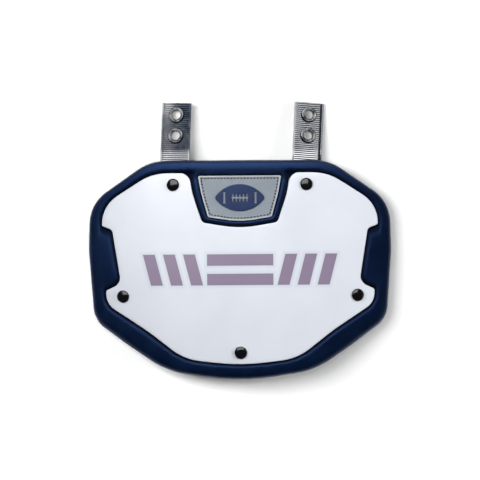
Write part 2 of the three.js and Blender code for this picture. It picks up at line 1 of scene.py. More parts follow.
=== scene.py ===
"""A football back plate lying on its back under soft studio light, seen from straight above."""

import cmath
import math

import bpy
from mathutils import Matrix, Vector, noise
from mathutils.geometry import delaunay_2d_cdt


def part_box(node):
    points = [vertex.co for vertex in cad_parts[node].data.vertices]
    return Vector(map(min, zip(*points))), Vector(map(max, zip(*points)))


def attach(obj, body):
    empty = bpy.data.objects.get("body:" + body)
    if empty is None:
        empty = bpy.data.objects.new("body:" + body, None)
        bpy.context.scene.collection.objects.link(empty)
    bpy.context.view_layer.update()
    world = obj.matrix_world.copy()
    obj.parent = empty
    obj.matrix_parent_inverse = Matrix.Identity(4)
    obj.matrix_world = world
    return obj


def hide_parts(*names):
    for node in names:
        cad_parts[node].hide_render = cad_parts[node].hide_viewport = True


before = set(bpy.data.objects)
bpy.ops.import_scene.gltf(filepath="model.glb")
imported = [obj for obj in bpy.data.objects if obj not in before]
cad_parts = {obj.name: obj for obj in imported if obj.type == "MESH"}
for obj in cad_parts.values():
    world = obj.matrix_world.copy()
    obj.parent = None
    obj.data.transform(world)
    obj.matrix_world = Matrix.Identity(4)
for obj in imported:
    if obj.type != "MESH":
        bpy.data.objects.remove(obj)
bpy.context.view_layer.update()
MM = 0.001

# Sizes of the real pieces in millimetres, as in the part's source except where a line says so. Heights h are
# measured from the plate's face.
PAD_WIDTH = 302
PAD_HEIGHT = 218.4
PAD_THICKNESS = 20
BODY_RADIUS = 360
SPINE_RADIUS = 900
RIM_RISE = 1.2  # lower than the source's
WAIST_DEPTH = 4
FOOT_PRESS = 2.6
PLATE_THICKNESS = 3
EDGE_GAP = 1
TAB_ROUND = 12
NOTCH_TIP_ROUND = 1.2
SEAT_GAP = 0.4
BENT_GAP = 0.6
BUMP_RISE = 1.2  # lower than the source's
BUMP_ROOT = 6
BUMP_TOP_GAP = 4
BADGE_WIDTH = 83.2
BADGE_HEIGHT = 44.2
BADGE_DROP = 15.5
BADGE_FACE_DEPTH = 0.6
BADGE_THICKNESS = 2
BADGE_BORDER = 1.3
BADGE_BORDER_RISE = 0.5
BADGE_GAP = 0.5
FRAME_SIDE = 8.9
FRAME_FOOT = 6.7
FRAME_SINK = 0.6  # share of its rise that the frame loses towards the top rim
FRAME_SINK_START = 82
FRAME_SINK_LENGTH = 13
ARM_PLACE = (46.5, 97)  # where the frame's arms melt into the rim
ARM_REACH = 9
MOTIF_WIDTH = 50
MOTIF_HEIGHT = 27
MOTIF_RISE = 0.9
LACE_WIDTH = 1.5
LACE_RUN = 17
LACE_CROSS = 7.5
LACE_COUNT = 5
BAND_PLACE = 0.62
BAND_WIDTH = 2.2
BAND_REACH = 0.62
RIVET_HEAD_RADIUS = 6.3  # a little wider than the source's
RIVET_HEAD_RISE = 3
RIVET_SHANK_RADIUS = 2.4
RIVET_FOOT_RADIUS = 5.5
RIVET_FOOT_THICKNESS = 1.2
STRAP_WIDTH = 29.4
STRAP_THICKNESS = 1.6
STRAP_REACH = 85
STRAP_SHIFT = 3.3
STRAP_TAIL = 12
STRAP_DROOP = math.radians(3)
STRAP_BEND_START = 27
STRAP_BEND_LENGTH = 14
RIB_PITCH = 2
RIB_RISE = 0.5
EYELET_BORE_RADIUS = 4.4
EYELET_WALL = 0.6
EYELET_FLANGE_RADIUS = 7.8
EYELET_FLANGE_RISE = 1.6
EYELET_FOOT_RADIUS = 7.4
EYELET_FOOT_THICKNESS = 0.9
EYELET_FROM_TIP = 12.3
EYELET_SPACING = 20.9
# Each strap swings a little on its rivet, and lies outwards of it.
STRAPS = {"left": (-1, math.radians(2.1)), "right": (1, math.radians(3.5))}

HALF_WIDTH = PAD_WIDTH / 2
HALF_HEIGHT = PAD_HEIGHT / 2
FIELD_DEPTH = PLATE_THICKNESS + SEAT_GAP
STRAP_DEPTH = STRAP_THICKNESS + RIB_RISE
BADGE_LOW = BADGE_FACE_DEPTH + BADGE_THICKNESS
BADGE_TOP = HALF_HEIGHT - BADGE_DROP
BADGE_MIDDLE = complex(0, BADGE_TOP - BADGE_HEIGHT / 2)

# Right halves from top to bottom: x as a share of half the pad's width, y and round as shares of half its
# height.
PAD_CORNERS = [
    (0.589, 1, 0.458), (0.993, 0.614, 0.366), (1.002, 0.183, 1.374), (0.967, -0.458, 0.247),
    (0.732, -0.697, 0.9), (0.49, -0.925, 0.824), (0, -1.028, 2.784),
]
PLATE_CORNERS = [
    (0.581, 0.885, 0.47), (0.921, 0.584, 0.3), (0.903, 0.183, 1.374), (0.885, -0.311, 0.165),
    (0.613, -0.558, 1.83), (0.375, -0.815, 0.504), (0, -0.879, 2.656),
]
SIDE_NOTCH = [
    (0.91, 0.405, NOTCH_TIP_ROUND / HALF_HEIGHT),
    (0.846, 0.37, 0.046),
    (0.79, -0.119, 0.09),
    (0.888, -0.184, NOTCH_TIP_ROUND / HALF_HEIGHT),
]
# x as a share of half the badge's width, down and round as shares of its height, then how much of the foam
# frame's side and foot lies outside that corner, and the plate's round there. The lower rows differ a little
# from the source's.
BADGE_CORNERS = [
    (1, 0, 0.036, 1, 0, TAB_ROUND / BADGE_HEIGHT),
    (0.928, 0.391, 2.94, 1, 0, 2.71),
    (0.764, 0.93, 0.045, 0.65, 0.8, 0.113),
    (0, 1.045, 3.28, 0, 1, 3.35),
]
# Sections as (share of the way across, height), from the outside in, fitted to the photo's highlights.
RIM_SECTION = [
    (0.14, -PAD_THICKNESS), (0.02, -0.93 * PAD_THICKNESS), (0, -0.8 * PAD_THICKNESS),
    (0, -1.2 * WAIST_DEPTH), (0.045, -2.2 * RIM_RISE), (0.12, -0.75 * RIM_RISE), (0.2, 0.12 * RIM_RISE),
    (0.3, 0.58 * RIM_RISE), (0.4, 0.8 * RIM_RISE), (0.52, 0.92 * RIM_RISE), (0.66, 0.98 * RIM_RISE),
    (0.81, RIM_RISE), (0.91, 0.9 * RIM_RISE), (0.955, 0.4 * RIM_RISE),
]
FRAME_SECTION = [(0, -1.6), (0.1, 0.1), (0.28, 1.2), (0.52, 1.6), (0.8, 1.45), (0.97, 0.6)]
BUMP_SECTION = [(0, -1.5), (0.04, -0.4), (0.11, 0.5), (0.26, 1.0), (0.6, 1.2)]

RIVET_SHARES = {
    "rivet_top_left": (-0.44, 0.776),
    "rivet_top_right": (0.44, 0.776),
    "rivet_side_left": (-0.774, -0.239),
    "rivet_side_right": (0.774, -0.239),
    "rivet_bottom": (0, -0.758),
}
RIVETS = {node: complex(x * HALF_WIDTH, y * HALF_HEIGHT) for node, (x, y) in RIVET_SHARES.items()}

# How finely the pieces are drawn
ARC_STEP = math.radians(4)
SIDE_STEP = 3.0
PAD_RINGS = 16
FOAM_VOXEL = 1.4
STRAP_STEP = 0.4

# The foam: its slow swell as waves to the metre and height, and the shade painted into the gap round the
# plate
SWELLS = ((28, 0.25), (90, 0.08))
FLAT_FOOT = 1.5
CREVICE_REACH = 2.4
CREVICE_TOP = 1.1
CREVICE_DEPTH = 1.2
CREVICE_FLOOR = -8

STITCH_INSET = 1.35
STITCH_SIZES = {"pitch": 3.3, "stitch_length": 2.5, "thread_width": 1.15, "thread_height": 0.9}
HEAD_WALL = 0.55
STRAP_MARGIN = 1.5
# How far from the middle of a strap's holes its inner points and its ribs keep
RIVET_CLEARANCE = 3.2
EYELET_CLEARANCE = 5.9
RIB_CLEARANCE = 5.6
RIB_SHARPNESS = 0.97
SQUARE = ((-1, -1), (1, -1), (1, 1), (-1, 1))

# The studio, in metres
FLOOR_REACH = 3.0
FLOOR_FADE = (0.45, 1.6)
CAMERA_DISTANCE = 8.0
VIEW_WIDTH = 0.4788
VIEW_MIDDLE = (29.5, 30)  # above the pad's middle and the floor, in millimetres
PAD_TURN = math.radians(0.42)


# Bent surfaces


def clamp(value):
    return min(max(value, 0), 1)


def sag(distance, radius):
    return radius - math.sqrt(radius**2 - distance**2)


def drop_at(x, y):
    return sag(x, BODY_RADIUS) + sag(y, SPINE_RADIUS)


def normal_at(x, y):
    across, along = x / BODY_RADIUS, y / SPINE_RADIUS
    return Vector((across, along, math.sqrt(1 - across**2 - along**2)))


def at_face(point, h):
    """A place that is as wide as it looks from above at the height h, as its place at the face."""
    return complex(
        point.real * BODY_RADIUS / (BODY_RADIUS + h), point.imag * SPINE_RADIUS / (SPINE_RADIUS + h)
    )


PLATE_TOP = PLATE_CORNERS[0][1] * HALF_HEIGHT
PAD_MIDDLE_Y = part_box("face_plate")[1][1] / MM - PLATE_TOP
FOOT_X = at_face(complex(HALF_WIDTH, 0), -WAIST_DEPTH).real
FACE_HEIGHT = drop_at(FOOT_X, 0) + PAD_THICKNESS * normal_at(FOOT_X, 0).z - FOOT_PRESS


def bend(point, h):
    x, y = point.real, point.imag
    face = Vector((x, y + PAD_MIDDLE_Y, FACE_HEIGHT - drop_at(x, y)))
    return (face + normal_at(x, y) * h) * MM


def standing(point, h):
    """A place and the way that stands up from the bent surface there."""
    return bend(point, h), normal_at(point.real, point.imag)


# Outlines


def mirrored(rows):
    """Both halves of an anticlockwise outline, from (x, y, round) rows of its right half, top to bottom."""
    left = [(complex(-x, y), r) for x, y, r in rows]
    right = [(complex(x, y), r) for x, y, r in rows if x != 0]
    return left + right[::-1]


def in_pad(rows):
    return [(x * HALF_WIDTH, y * HALF_HEIGHT, r * HALF_HEIGHT) for x, y, r in rows]


def sides_at(corners, i):
    here = corners[i][0]
    return here - corners[i - 1][0], corners[(i + 1) % len(corners)][0] - here


def inset_corners(corners, distance):
    moved = []
    for i, (here, r) in enumerate(corners):
        into, away = (side / abs(side) for side in sides_at(corners, i))
        turns_left = 1 if cmath.phase(away / into) >= 0 else -1
        reach = distance / (1 + (into * away.conjugate()).real)
        moved.append((here + 1j * (into + away) * reach, max(r - turns_left * distance, NOTCH_TIP_ROUND / 2)))
    return moved


def fillet(corners, i):
    """A corner's round stretch: its start, turn and centre."""
    here, r = corners[i]
    into, away = sides_at(corners, i)
    room = 0.48 * min(abs(into), abs(away))
    into, away = into / abs(into), away / abs(away)
    turn = cmath.phase(away / into)
    half = max(abs(math.tan(turn / 2)), 1e-4)
    tangent = min(r * half, room)
    start = here - into * tangent
    return start, turn, start + 1j * into * math.copysign(tangent / half, turn)


def plan_of(corners):
    """How many steps each round stretch and the side after it take."""
    counts = []
    for i in range(len(corners)):
        length, turn = abs(sides_at(corners, i)[1]), abs(fillet(corners, i)[1])
        counts.append((max(2, math.ceil(turn / ARC_STEP)), max(1, math.ceil(length / SIDE_STEP))))
    return counts


def outline(corners, plan=None):
    plan = plan or plan_of(corners)
    arcs = []
    for i, (steps, _) in enumerate(plan):
        start, turn, centre = fillet(corners, i)
        arcs.append([centre + (start - centre) * cmath.exp(1j * turn * k / steps) for k in range(steps + 1)])
    points = []
    for i, arc in enumerate(arcs):
        after = arcs[(i + 1) % len(arcs)][0]
        steps = plan[i][1]
        points += arc + [arc[-1] + (after - arc[-1]) * k / steps for k in range(1, steps)]
    return points


def mix(points, others, share):
    return [a + (b - a) * share for a, b in zip(points, others)]


def towards(points, middle, share):
    return [p + (middle - p) * share for p in points]


def inside(point, loop):
    """True if the point lies in the closed loop."""
    hit = False
    for a, b in zip(loop, loop[1:] + loop[:1]):
        if (a.imag > point.imag) != (b.imag > point.imag):
            if point.real < a.real + (point.imag - a.imag) * (b.real - a.real) / (b.imag - a.imag):
                hit = not hit
    return hit


def resampled(loop, step):
    """The closed loop with a point every step, so that cuts in it come out even."""
    points = []
    for a, b in zip(loop, loop[1:] + loop[:1]):
        count = max(1, round(abs(b - a) / step))
        points += [a + (b - a) * k / count for k in range(count)]
    return points


def kept_run(loop, kept):
    """The kept points of a closed loop, from the first one after a gap."""
    start = next(i for i in range(len(loop)) if kept[i] and not kept[i - 1])
    order = [(start + i) % len(loop) for i in range(len(loop))]
    return [loop[i] for i in order if kept[i]]


def carved(loop, notch):
    """The loop without the notch, both anticlockwise."""
    wall = kept_run(notch, [inside(p, loop) for p in notch])
    return kept_run(loop, [not inside(p, notch) for p in loop]) + wall[::-1]


def eased(loop, rounds):
    for _ in range(rounds):
        loop = [(loop[i - 1] + 2 * p + loop[(i + 1) % len(loop)]) / 4 for i, p in enumerate(loop)]
    return loop


def offset(loop, distance):
    """A closely drawn loop moved to its left by a distance, point by point."""
    moved = []
    for i, p in enumerate(loop):
        along = loop[(i + 1) % len(loop)] - loop[i - 1]
        moved.append(p + 1j * along / abs(along) * distance)
    return moved


def circle(centre, radius, sides):
    return [centre + radius * cmath.exp(2j * math.pi * k / sides) for k in range(sides)]


def spline(rows, steps):
    """Extra rows on a smooth curve through the given ones."""
    padded = [rows[0]] + rows + [rows[-1]]
    fine = []
    for a, b, c, d in zip(padded, padded[1:], padded[2:], padded[3:]):
        for k in range(steps):
            t = k / steps
            weights = (
                -0.5 * t + t * t - 0.5 * t**3,
                1 - 2.5 * t * t + 1.5 * t**3,
                0.5 * t + 2 * t * t - 1.5 * t**3,
                -0.5 * t * t + 0.5 * t**3,
            )
            fine.append(tuple(sum(w * row[j] for w, row in zip(weights, (a, b, c, d))) for j in (0, 1)))
    return fine + [rows[-1]]


# Meshes


def new_object(name, data):
    made = bpy.data.objects.new(name, data)
    bpy.context.scene.collection.objects.link(made)
    return made


def mesh_object(name, places, faces, sharp=math.radians(40)):
    mesh = bpy.data.meshes.new(name)
    mesh.from_pydata(places, [], faces)
    mesh.validate()
    mesh.shade_smooth()
    mesh.set_sharp_from_angle(angle=sharp)
    return new_object(name, mesh)


def ring_faces(lower, upper, flip=False):
    count = len(lower)
    quads = [(lower[i], lower[(i + 1) % count], upper[(i + 1) % count], upper[i]) for i in range(count)]
    return [q[::-1] for q in quads] if flip else quads


def moulded(rings, middle, bottom, top):
    """Places and faces of a closed bent solid through (points, h) rings, from under its middle to over it.
    A ring's h is one height or a list of heights."""
    count = len(rings[0][0])
    places = [bend(middle, bottom)]
    for points, heights in rings:
        if not isinstance(heights, list):
            heights = [heights] * count
        places += [bend(p, h) for p, h in zip(points, heights)]
    places.append(bend(middle, top))
    for place in places:
        place.z = max(place.z, 0)
    loops = [range(1 + k * count, 1 + (k + 1) * count) for k in range(len(rings))]
    faces = [f for low, high in zip(loops, loops[1:]) for f in ring_faces(low, high)]
    faces += [(0, loops[0][(i + 1) % count], loops[0][i]) for i in range(count)]
    faces += [(len(places) - 1, loops[-1][i], loops[-1][(i + 1) % count]) for i in range(count)]
    return places, faces


def joined(*parts):
    places, faces = [], []
    for more, quads in parts:
        base = len(places)
        places += more
        faces += [tuple(i + base for i in face) for face in quads]
    return places, faces


def filled(loops, inner):
    """Triangles between the first loop and the holes, by index in the loops' and then the inner points."""
    points = [p for loop in loops for p in loop] + inner
    edges, base = [], 0
    for loop in loops:
        edges += [(base + i, base + (i + 1) % len(loop)) for i in range(len(loop))]
        base += len(loop)
    flat = [Vector((p.real, p.imag)) for p in points]
    made, _, faces, sources, _, _ = delaunay_2d_cdt(flat, edges, [], 1, 1e-7)
    index = [origin[0] for origin in sources]
    triangles = []
    for face in faces:
        centre = sum((complex(*made[i]) for i in face), 0j) / 3
        if not any(inside(centre, hole) for hole in loops[1:]):
            triangles.append(tuple(index[i] for i in face))
    return triangles


def grid_inside(loops, step, margin):
    """Points of an even grid that keep clear of every loop."""

    def cell(p):
        return round(p.real / margin), round(p.imag / margin)

    edge_cells = {}
    for p in (p for loop in loops for p in loop):
        edge_cells.setdefault(cell(p), []).append(p)
    columns, rows = (
        range(math.floor(min(values) / step), math.ceil(max(values) / step) + 1)
        for values in ([p.real for p in loops[0]], [p.imag for p in loops[0]])
    )
    points = []
    for p in (complex(i, j) * step for i in columns for j in rows):
        i, j = cell(p)
        near = [q for a in (-1, 0, 1) for b in (-1, 0, 1) for q in edge_cells.get((i + a, j + b), ())]
        if all(abs(q - p) >= margin for q in near) and inside(p, loops[0]):
            if not any(inside(p, hole) for hole in loops[1:]):
                points.append(p)
    return points


def slab(outer, holes, inner, place):
    """A closed solid. outer and each of holes is a list of (loop, h) rings from its underside to its top."""
    places, faces = [], []
    bottoms, tops = [], []
    for n, rings in enumerate([outer] + holes):
        spans = []
        for loop, h in rings:
            spans.append(range(len(places), len(places) + len(loop)))
            places += [place(p, h) for p in loop]
        for low, high in zip(spans, spans[1:]):
            faces += ring_faces(low, high, flip=n > 0)
        bottoms.append(spans[0])
        tops.append(spans[-1])
    for spans, side, flip in ((bottoms, 0, True), (tops, -1, False)):
        loops = [rings[side][0] for rings in [outer] + holes]
        index = [i for span in spans for i in span] + list(range(len(places), len(places) + len(inner)))
        places += [place(p, outer[side][1]) for p in inner]
        for triangle in filled(loops, inner):
            corners = tuple(index[i] for i in triangle)
            faces.append(corners[::-1] if flip else corners)
    return places, faces


def edge_rings(loop, low, high, bevel, away=1):
    """Rings of a wall with rounded edges, drawn in from a loop, or out of it for a hole."""
    turns = [math.radians(a) for a in (0, 22, 45, 68, 90)]
    foot = [(bevel * (1 - math.sin(a)), low + bevel * (1 - math.cos(a))) for a in turns]
    head = [(bevel * (1 - math.cos(a)), high - bevel * (1 - math.sin(a))) for a in turns]
    return [(offset(loop, away * d), h) for d, h in foot + head]


def turned(profile, sides=56):
    """Places and faces of a closed turned piece on the Z axis, from (radius, height) rows."""
    places, spans = [], []
    for r, z in profile:
        if r == 0:
            spans.append([len(places)] * sides)
            places.append(Vector((0, 0, z)) * MM)
        else:
            spans.append(range(len(places), len(places) + sides))
            places += [Vector((p.real, p.imag, z)) * MM for p in circle(0, r, sides)]
    faces = []
    for low, high in zip(spans, spans[1:]):
        for face in ring_faces(low, high):
            corners = tuple(dict.fromkeys(face))
            if len(corners) > 2:
                faces.append(corners)
    return places, faces


def baked(made, name):
    """The object with its modifiers worked into a new plain mesh, and no modifier left."""
    bpy.context.view_layer.update()
    depsgraph = bpy.context.evaluated_depsgraph_get()
    mesh = bpy.data.meshes.new_from_object(made.evaluated_get(depsgraph))
    mesh.name = name
    bpy.data.objects.remove(made)
    return new_object(name, mesh)


# Node helpers


def feed(tree, socket, value):
    if isinstance(value, bpy.types.NodeSocket):
        tree.links.new(value, socket)
    else:
        socket.default_value = value


def put(tree, kind, inputs=None, **settings):
    made = tree.nodes.new(kind)
    for key, value in settings.items():
        setattr(made, key, value)
    for key, value in (inputs or {}).items():
        feed(tree, made.inputs[key], value)
    return made


def calc(tree, operation, a, b=0.0, c=0.0):
    return put(tree, "ShaderNodeMath", {0: a, 1: b, 2: c}, operation=operation).outputs[0]


def new_group(name, kind, inputs, outputs):
    tree = bpy.data.node_groups.new(name, kind)
    for in_out, rows in (("INPUT", inputs), ("OUTPUT", outputs)):
        for label, socket, *value in rows:
            made = tree.interface.new_socket(label, in_out=in_out, socket_type=f"NodeSocket{socket}")
            if value:
                made.default_value = value[0]
    return tree, tree.nodes.new("NodeGroupInput").outputs, tree.nodes.new("NodeGroupOutput").inputs


def socket_name(label):
    return label.replace("_", " ").title().replace("Ior", "IOR")


def run_tree(made, tree, name, **values):
    """Runs a geometry tree on an object with its named inputs, and keeps the plain mesh."""
    modifier = made.modifiers.new(tree.name, "NODES")
    modifier.node_group = tree
    sockets = {item.name: item.identifier for item in tree.interface.items_tree if item.in_out == "INPUT"}
    for label, value in values.items():
        modifier[sockets[socket_name(label)]] = value
    return baked(made, name)


# Shared finishes


def object_place(tree, scale=1.0):
    place = put(tree, "ShaderNodeTexCoord").outputs["Object"]
    return put(tree, "ShaderNodeVectorMath", {0: place, "Scale": scale}, operation="SCALE").outputs[0]


def place_across(tree):
    """The object's own X and Y, in millimetres."""
    return put(tree, "ShaderNodeSeparateXYZ", {0: object_place(tree, 1 / MM)}).outputs[:2]


def grain_group():
    """Fine moulded or woven grain: a height for bump and a slow mottle for colour and roughness."""
    inputs = [("Grain Size", "Float", 0.4), ("Mottle Size", "Float", 20.0)]
    outputs = [("Height", "Float"), ("Mottle", "Float")]
    tree, given, out = new_group("Grain", "ShaderNodeTree", inputs, outputs)
    place = object_place(tree, 1 / MM)
    fine = calc(tree, "DIVIDE", 1.0, given["Grain Size"])
    slow = calc(tree, "DIVIDE", 1.0, given["Mottle Size"])
    grain = {"Vector": place, "Scale": fine, "Detail": 3.0, "Roughness": 0.6}
    mottle = {"Vector": place, "Scale": slow, "Detail": 4.0, "Roughness": 0.55}
    grain, mottle = (put(tree, "ShaderNodeTexNoise", values).outputs[0] for values in (grain, mottle))
    cells = put(tree, "ShaderNodeTexVoronoi", {"Vector": place, "Scale": fine}).outputs["Distance"]
    tree.links.new(calc(tree, "MULTIPLY_ADD", cells, 0.5, grain), out["Height"])
    tree.links.new(mottle, out["Mottle"])
    return tree


GRAIN = grain_group()


def grain_of(tree, grain_size, mottle_size):
    made = put(tree, "ShaderNodeGroup", node_tree=GRAIN)
    made.inputs["Grain Size"].default_value = grain_size
    made.inputs["Mottle Size"].default_value = mottle_size
    return made.outputs


def new_material(name, **plain):
    material = bpy.data.materials.new(name)
    material.use_nodes = True
    tree = material.node_tree
    shader = tree.nodes["Principled BSDF"]
    for label, value in plain.items():
        shader.inputs[socket_name(label)].default_value = value
    return material, tree, shader


def blend_colours(tree, share, a, b):
    made = put(tree, "ShaderNodeMix", {"Factor": share}, data_type="RGBA")
    for socket, value in ((made.inputs[6], a), (made.inputs[7], b)):
        feed(tree, socket, (*value, 1) if isinstance(value, tuple) else value)
    return made.outputs[2]


def ramp(tree, value, low, high, start=0.0, end=1.0):
    inputs = {"Value": value, "From Min": low, "From Max": high, "To Min": start, "To Max": end}
    return put(tree, "ShaderNodeMapRange", inputs, interpolation_type="SMOOTHSTEP").outputs[0]


def bump(tree, shader, height, depth, strength):
    made = put(tree, "ShaderNodeBump", {"Height": height, "Distance": depth * MM, "Strength": strength})
    tree.links.new(made.outputs[0], shader.inputs["Normal"])


def mottled(tree, shader, grain, rough, colours=None):
    """A slow mottle of the roughness, and of two colours where they are given."""
    tree.links.new(ramp(tree, grain["Mottle"], 0.3, 0.7, *rough), shader.inputs["Roughness"])
    if colours:
        share = ramp(tree, grain["Mottle"], 0.35, 0.65)
        tree.links.new(blend_colours(tree, share, *colours), shader.inputs["Base Color"])


def grained_material(name, grain_size, mottle_size, rough, depth, strength, colours=None, **plain):
    material, tree, shader = new_material(name, **plain)
    grain = grain_of(tree, grain_size, mottle_size)
    mottled(tree, shader, grain, rough, colours)
    bump(tree, shader, grain["Height"], depth, strength)
    return material


def foam_material():
    plain = {"specular_ior_level": 0.52, "specular_tint": (0.2, 0.38, 1, 1)}
    material, tree, shader = new_material("navy_cloth", **plain)
    grain = grain_of(tree, 0.8, 26)
    wave = {"Vector": object_place(tree, 1 / MM), "Scale": 0.32, "Distortion": 0.6, "Detail": 2.0}
    weave = [put(tree, "ShaderNodeTexWave", wave, bands_direction=way).outputs["Fac"] for way in ("X", "Y")]
    threads = calc(tree, "MULTIPLY", *weave)
    share = ramp(tree, grain["Mottle"], 0.35, 0.65)
    tint = blend_colours(tree, share, (0.0003, 0.0024, 0.0105), (0.0006, 0.0036, 0.0145))
    flecks = ramp(tree, calc(tree, "MULTIPLY", threads, grain["Height"]), 0.3, 0.9, 0.0, 0.35)
    cloth = blend_colours(tree, flecks, tint, (0.005, 0.016, 0.048))
    # Painted shade: the cloth turns almost black, and rougher, in the gaps round the plate, as far as the
    # crevice_shade mark reaches.
    crevice_shade = put(tree, "ShaderNodeAttribute", attribute_name="crevice_shade").outputs["Fac"]
    shaded = blend_colours(tree, crevice_shade, cloth, (0.0001, 0.0003, 0.001))
    tree.links.new(shaded, shader.inputs["Base Color"])
    rough = ramp(tree, grain["Mottle"], 0.3, 0.7, 0.38, 0.46)
    tree.links.new(calc(tree, "MULTIPLY_ADD", crevice_shade, 0.5, rough), shader.inputs["Roughness"])
    bump(tree, shader, calc(tree, "MULTIPLY_ADD", threads, 0.7, grain["Height"]), 0.12, 0.45)
    return material


# The plate's print: two long bars between rows of slanted blocks, sizes in millimetres from the pad's middle.
PRINT_HALF_TALL = 15.5
LONG_BAR_HALF = 33
LONG_BAR_MIDDLE = 9.75
LONG_BAR_HALF_TALL = 5.75
BLOCK_PITCH = 20
BLOCK_HALF = 6
BLOCK_FIRST = 47
BLOCKS_MIDDLE = 67
BLOCKS_HALF = 26
BLOCK_SLANT = 8 / 31
HALO_REACH = 4.5


def print_distance(tree):
    """How far a place on the plate lies outside the printed shapes, in millimetres."""

    def beyond(value, middle, half):
        return calc(tree, "SUBTRACT", calc(tree, "ABSOLUTE", calc(tree, "SUBTRACT", value, middle)), half)

    x, y = place_across(tree)
    y = calc(tree, "SUBTRACT", y, PAD_MIDDLE_Y)
    across = calc(tree, "ABSOLUTE", x)
    slanted = calc(tree, "SUBTRACT", across, calc(tree, "MULTIPLY", y, BLOCK_SLANT))
    start = calc(tree, "SUBTRACT", slanted, BLOCK_FIRST - BLOCK_PITCH / 2)
    block = beyond(calc(tree, "FLOORED_MODULO", start, BLOCK_PITCH), BLOCK_PITCH / 2, BLOCK_HALF)
    row = beyond(slanted, BLOCKS_MIDDLE, BLOCKS_HALF)
    blocks = calc(tree, "MAXIMUM", calc(tree, "MAXIMUM", block, row), beyond(y, 0, PRINT_HALF_TALL))
    bar = beyond(calc(tree, "ABSOLUTE", y), LONG_BAR_MIDDLE, LONG_BAR_HALF_TALL)
    bars = calc(tree, "MAXIMUM", bar, calc(tree, "SUBTRACT", across, LONG_BAR_HALF))
    return calc(tree, "MINIMUM", blocks, bars)


def plate_material():
    material, tree, shader = new_material("printed_white_plate", coat_weight=0.35, coat_roughness=0.12)
    distance = print_distance(tree)
    ink = ramp(tree, distance, -0.2, 0.2, 1.0, 0.0)
    # A bluish grey halo darkens the plate round the printed shapes and fades out over HALO_REACH.
    halo = ramp(tree, distance, 0.0, HALO_REACH, 0.45, 0.0)
    grain = grain_of(tree, 1.6, 45)
    share = ramp(tree, grain["Mottle"], 0.3, 0.7)
    white = blend_colours(tree, share, (0.48, 0.502, 0.552), (0.5, 0.522, 0.572))
    haloed = blend_colours(tree, halo, white, (0.36, 0.41, 0.475))
    inked = blend_colours(tree, ink, haloed, (0.178, 0.14, 0.204))
    tree.links.new(inked, shader.inputs["Base Color"])
    mottled(tree, shader, grain, (0.3, 0.4))
    bump(tree, shader, calc(tree, "MULTIPLY_ADD", ink, 0.6, grain["Height"]), 0.02, 0.25)
    return material


def vinyl_material():
    plain = {"ior": 1.38, "specular_ior_level": 0.24, "specular_tint": (0.66, 0.8, 1, 1)}
    plain |= {"transmission_weight": 0.08, "coat_roughness": 0.1, "coat_ior": 2.0}
    material, tree, shader = new_material("smoked_vinyl", **plain)
    grain = grain_of(tree, 0.6, 9)
    mottled(tree, shader, grain, (0.09, 0.17), ((0.006, 0.01, 0.018), (0.012, 0.018, 0.031)))
    # The film shines in patches, near the pad, on the right strap and at the left strap's outer edge.
    x, y = place_across(tree)
    edge = ramp(tree, x, -72, -60, 0.32, 0.0)
    shine = calc(tree, "MULTIPLY_ADD", edge, ramp(tree, y, 118, 132, 0.0, 2.2), edge)
    patches = ramp(tree, grain["Mottle"], 0.4, 0.62, 0.0, 0.16)
    for more in (ramp(tree, y, 86, 93, 1.0, 0.0), ramp(tree, x, -40, 40, 0.0, 0.78), patches):
        shine = calc(tree, "ADD", shine, more)
    tree.links.new(shine, shader.inputs["Coat Weight"])
    bump(tree, shader, grain["Mottle"], 0.5, 1.0)
    return material


def rubber_material(name, dark, light, rough):
    ranges = {"rough": (rough, rough + 0.12), "colours": (dark, light)}
    return grained_material(name, 0.5, 12, depth=0.05, strength=0.5, specular_ior_level=0.22, **ranges)


NAVY_CLOTH = foam_material()
PRINTED_PLATE = plate_material()
ENAMEL_TINT = (0.003, 0.003, 0.004, 1)
BLACK_ENAMEL = grained_material("black_enamel", 0.5, 4, (0.1, 0.2), 0.004, 0.3, base_color=ENAMEL_TINT)
SMOKED_VINYL = vinyl_material()
METAL_TINTS = ((0.1, 0.104, 0.11), (0.22, 0.226, 0.235))
GUNMETAL = grained_material("polished_gunmetal", 0.4, 3, (0.05, 0.12), 0.002, 0.2, METAL_TINTS, metallic=1)
GREY_RUBBER = rubber_material("grey_rubber", (0.185, 0.215, 0.245), (0.205, 0.235, 0.265), 0.5)
PALE_RUBBER = rubber_material("pale_rubber_border", (0.37, 0.385, 0.4), (0.41, 0.425, 0.44), 0.45)
NAVY_RUBBER = rubber_material("navy_rubber", (0.0045, 0.014, 0.055), (0.006, 0.018, 0.066), 0.38)
BLACK_THREAD = rubber_material("black_thread", (0.004, 0.004, 0.005), (0.012, 0.012, 0.014), 0.6)


def finish(piece, material, slot_name, *nodes):
    """Gives a piece its material, if one is given, hangs it on the root body and hides the parts it stands
    for.
    """
    if material:
        piece.data.materials.clear()
        piece.data.materials.append(material)
    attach(piece, "root")
    if nodes:
        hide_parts(*nodes)


# Geometry trees


def geometry_tree(name, *inputs):
    rows = [("Geometry", "Geometry"), *inputs, ("Finish", "Material")]
    return new_group(name, "GeometryNodeTree", rows, [("Geometry", "Geometry")])


def stored(tree, name, kind="FLOAT_VECTOR"):
    return put(tree, "GeometryNodeInputNamedAttribute", {"Name": name}, data_type=kind).outputs[0]


def end_tree(tree, given, out, geometry):
    real = put(tree, "GeometryNodeRealizeInstances", {0: geometry.outputs[0]})
    done = put(tree, "GeometryNodeSetMaterial", {0: real.outputs[0], "Material": given["Finish"]})
    tree.links.new(done.outputs[0], out[0])
    return tree


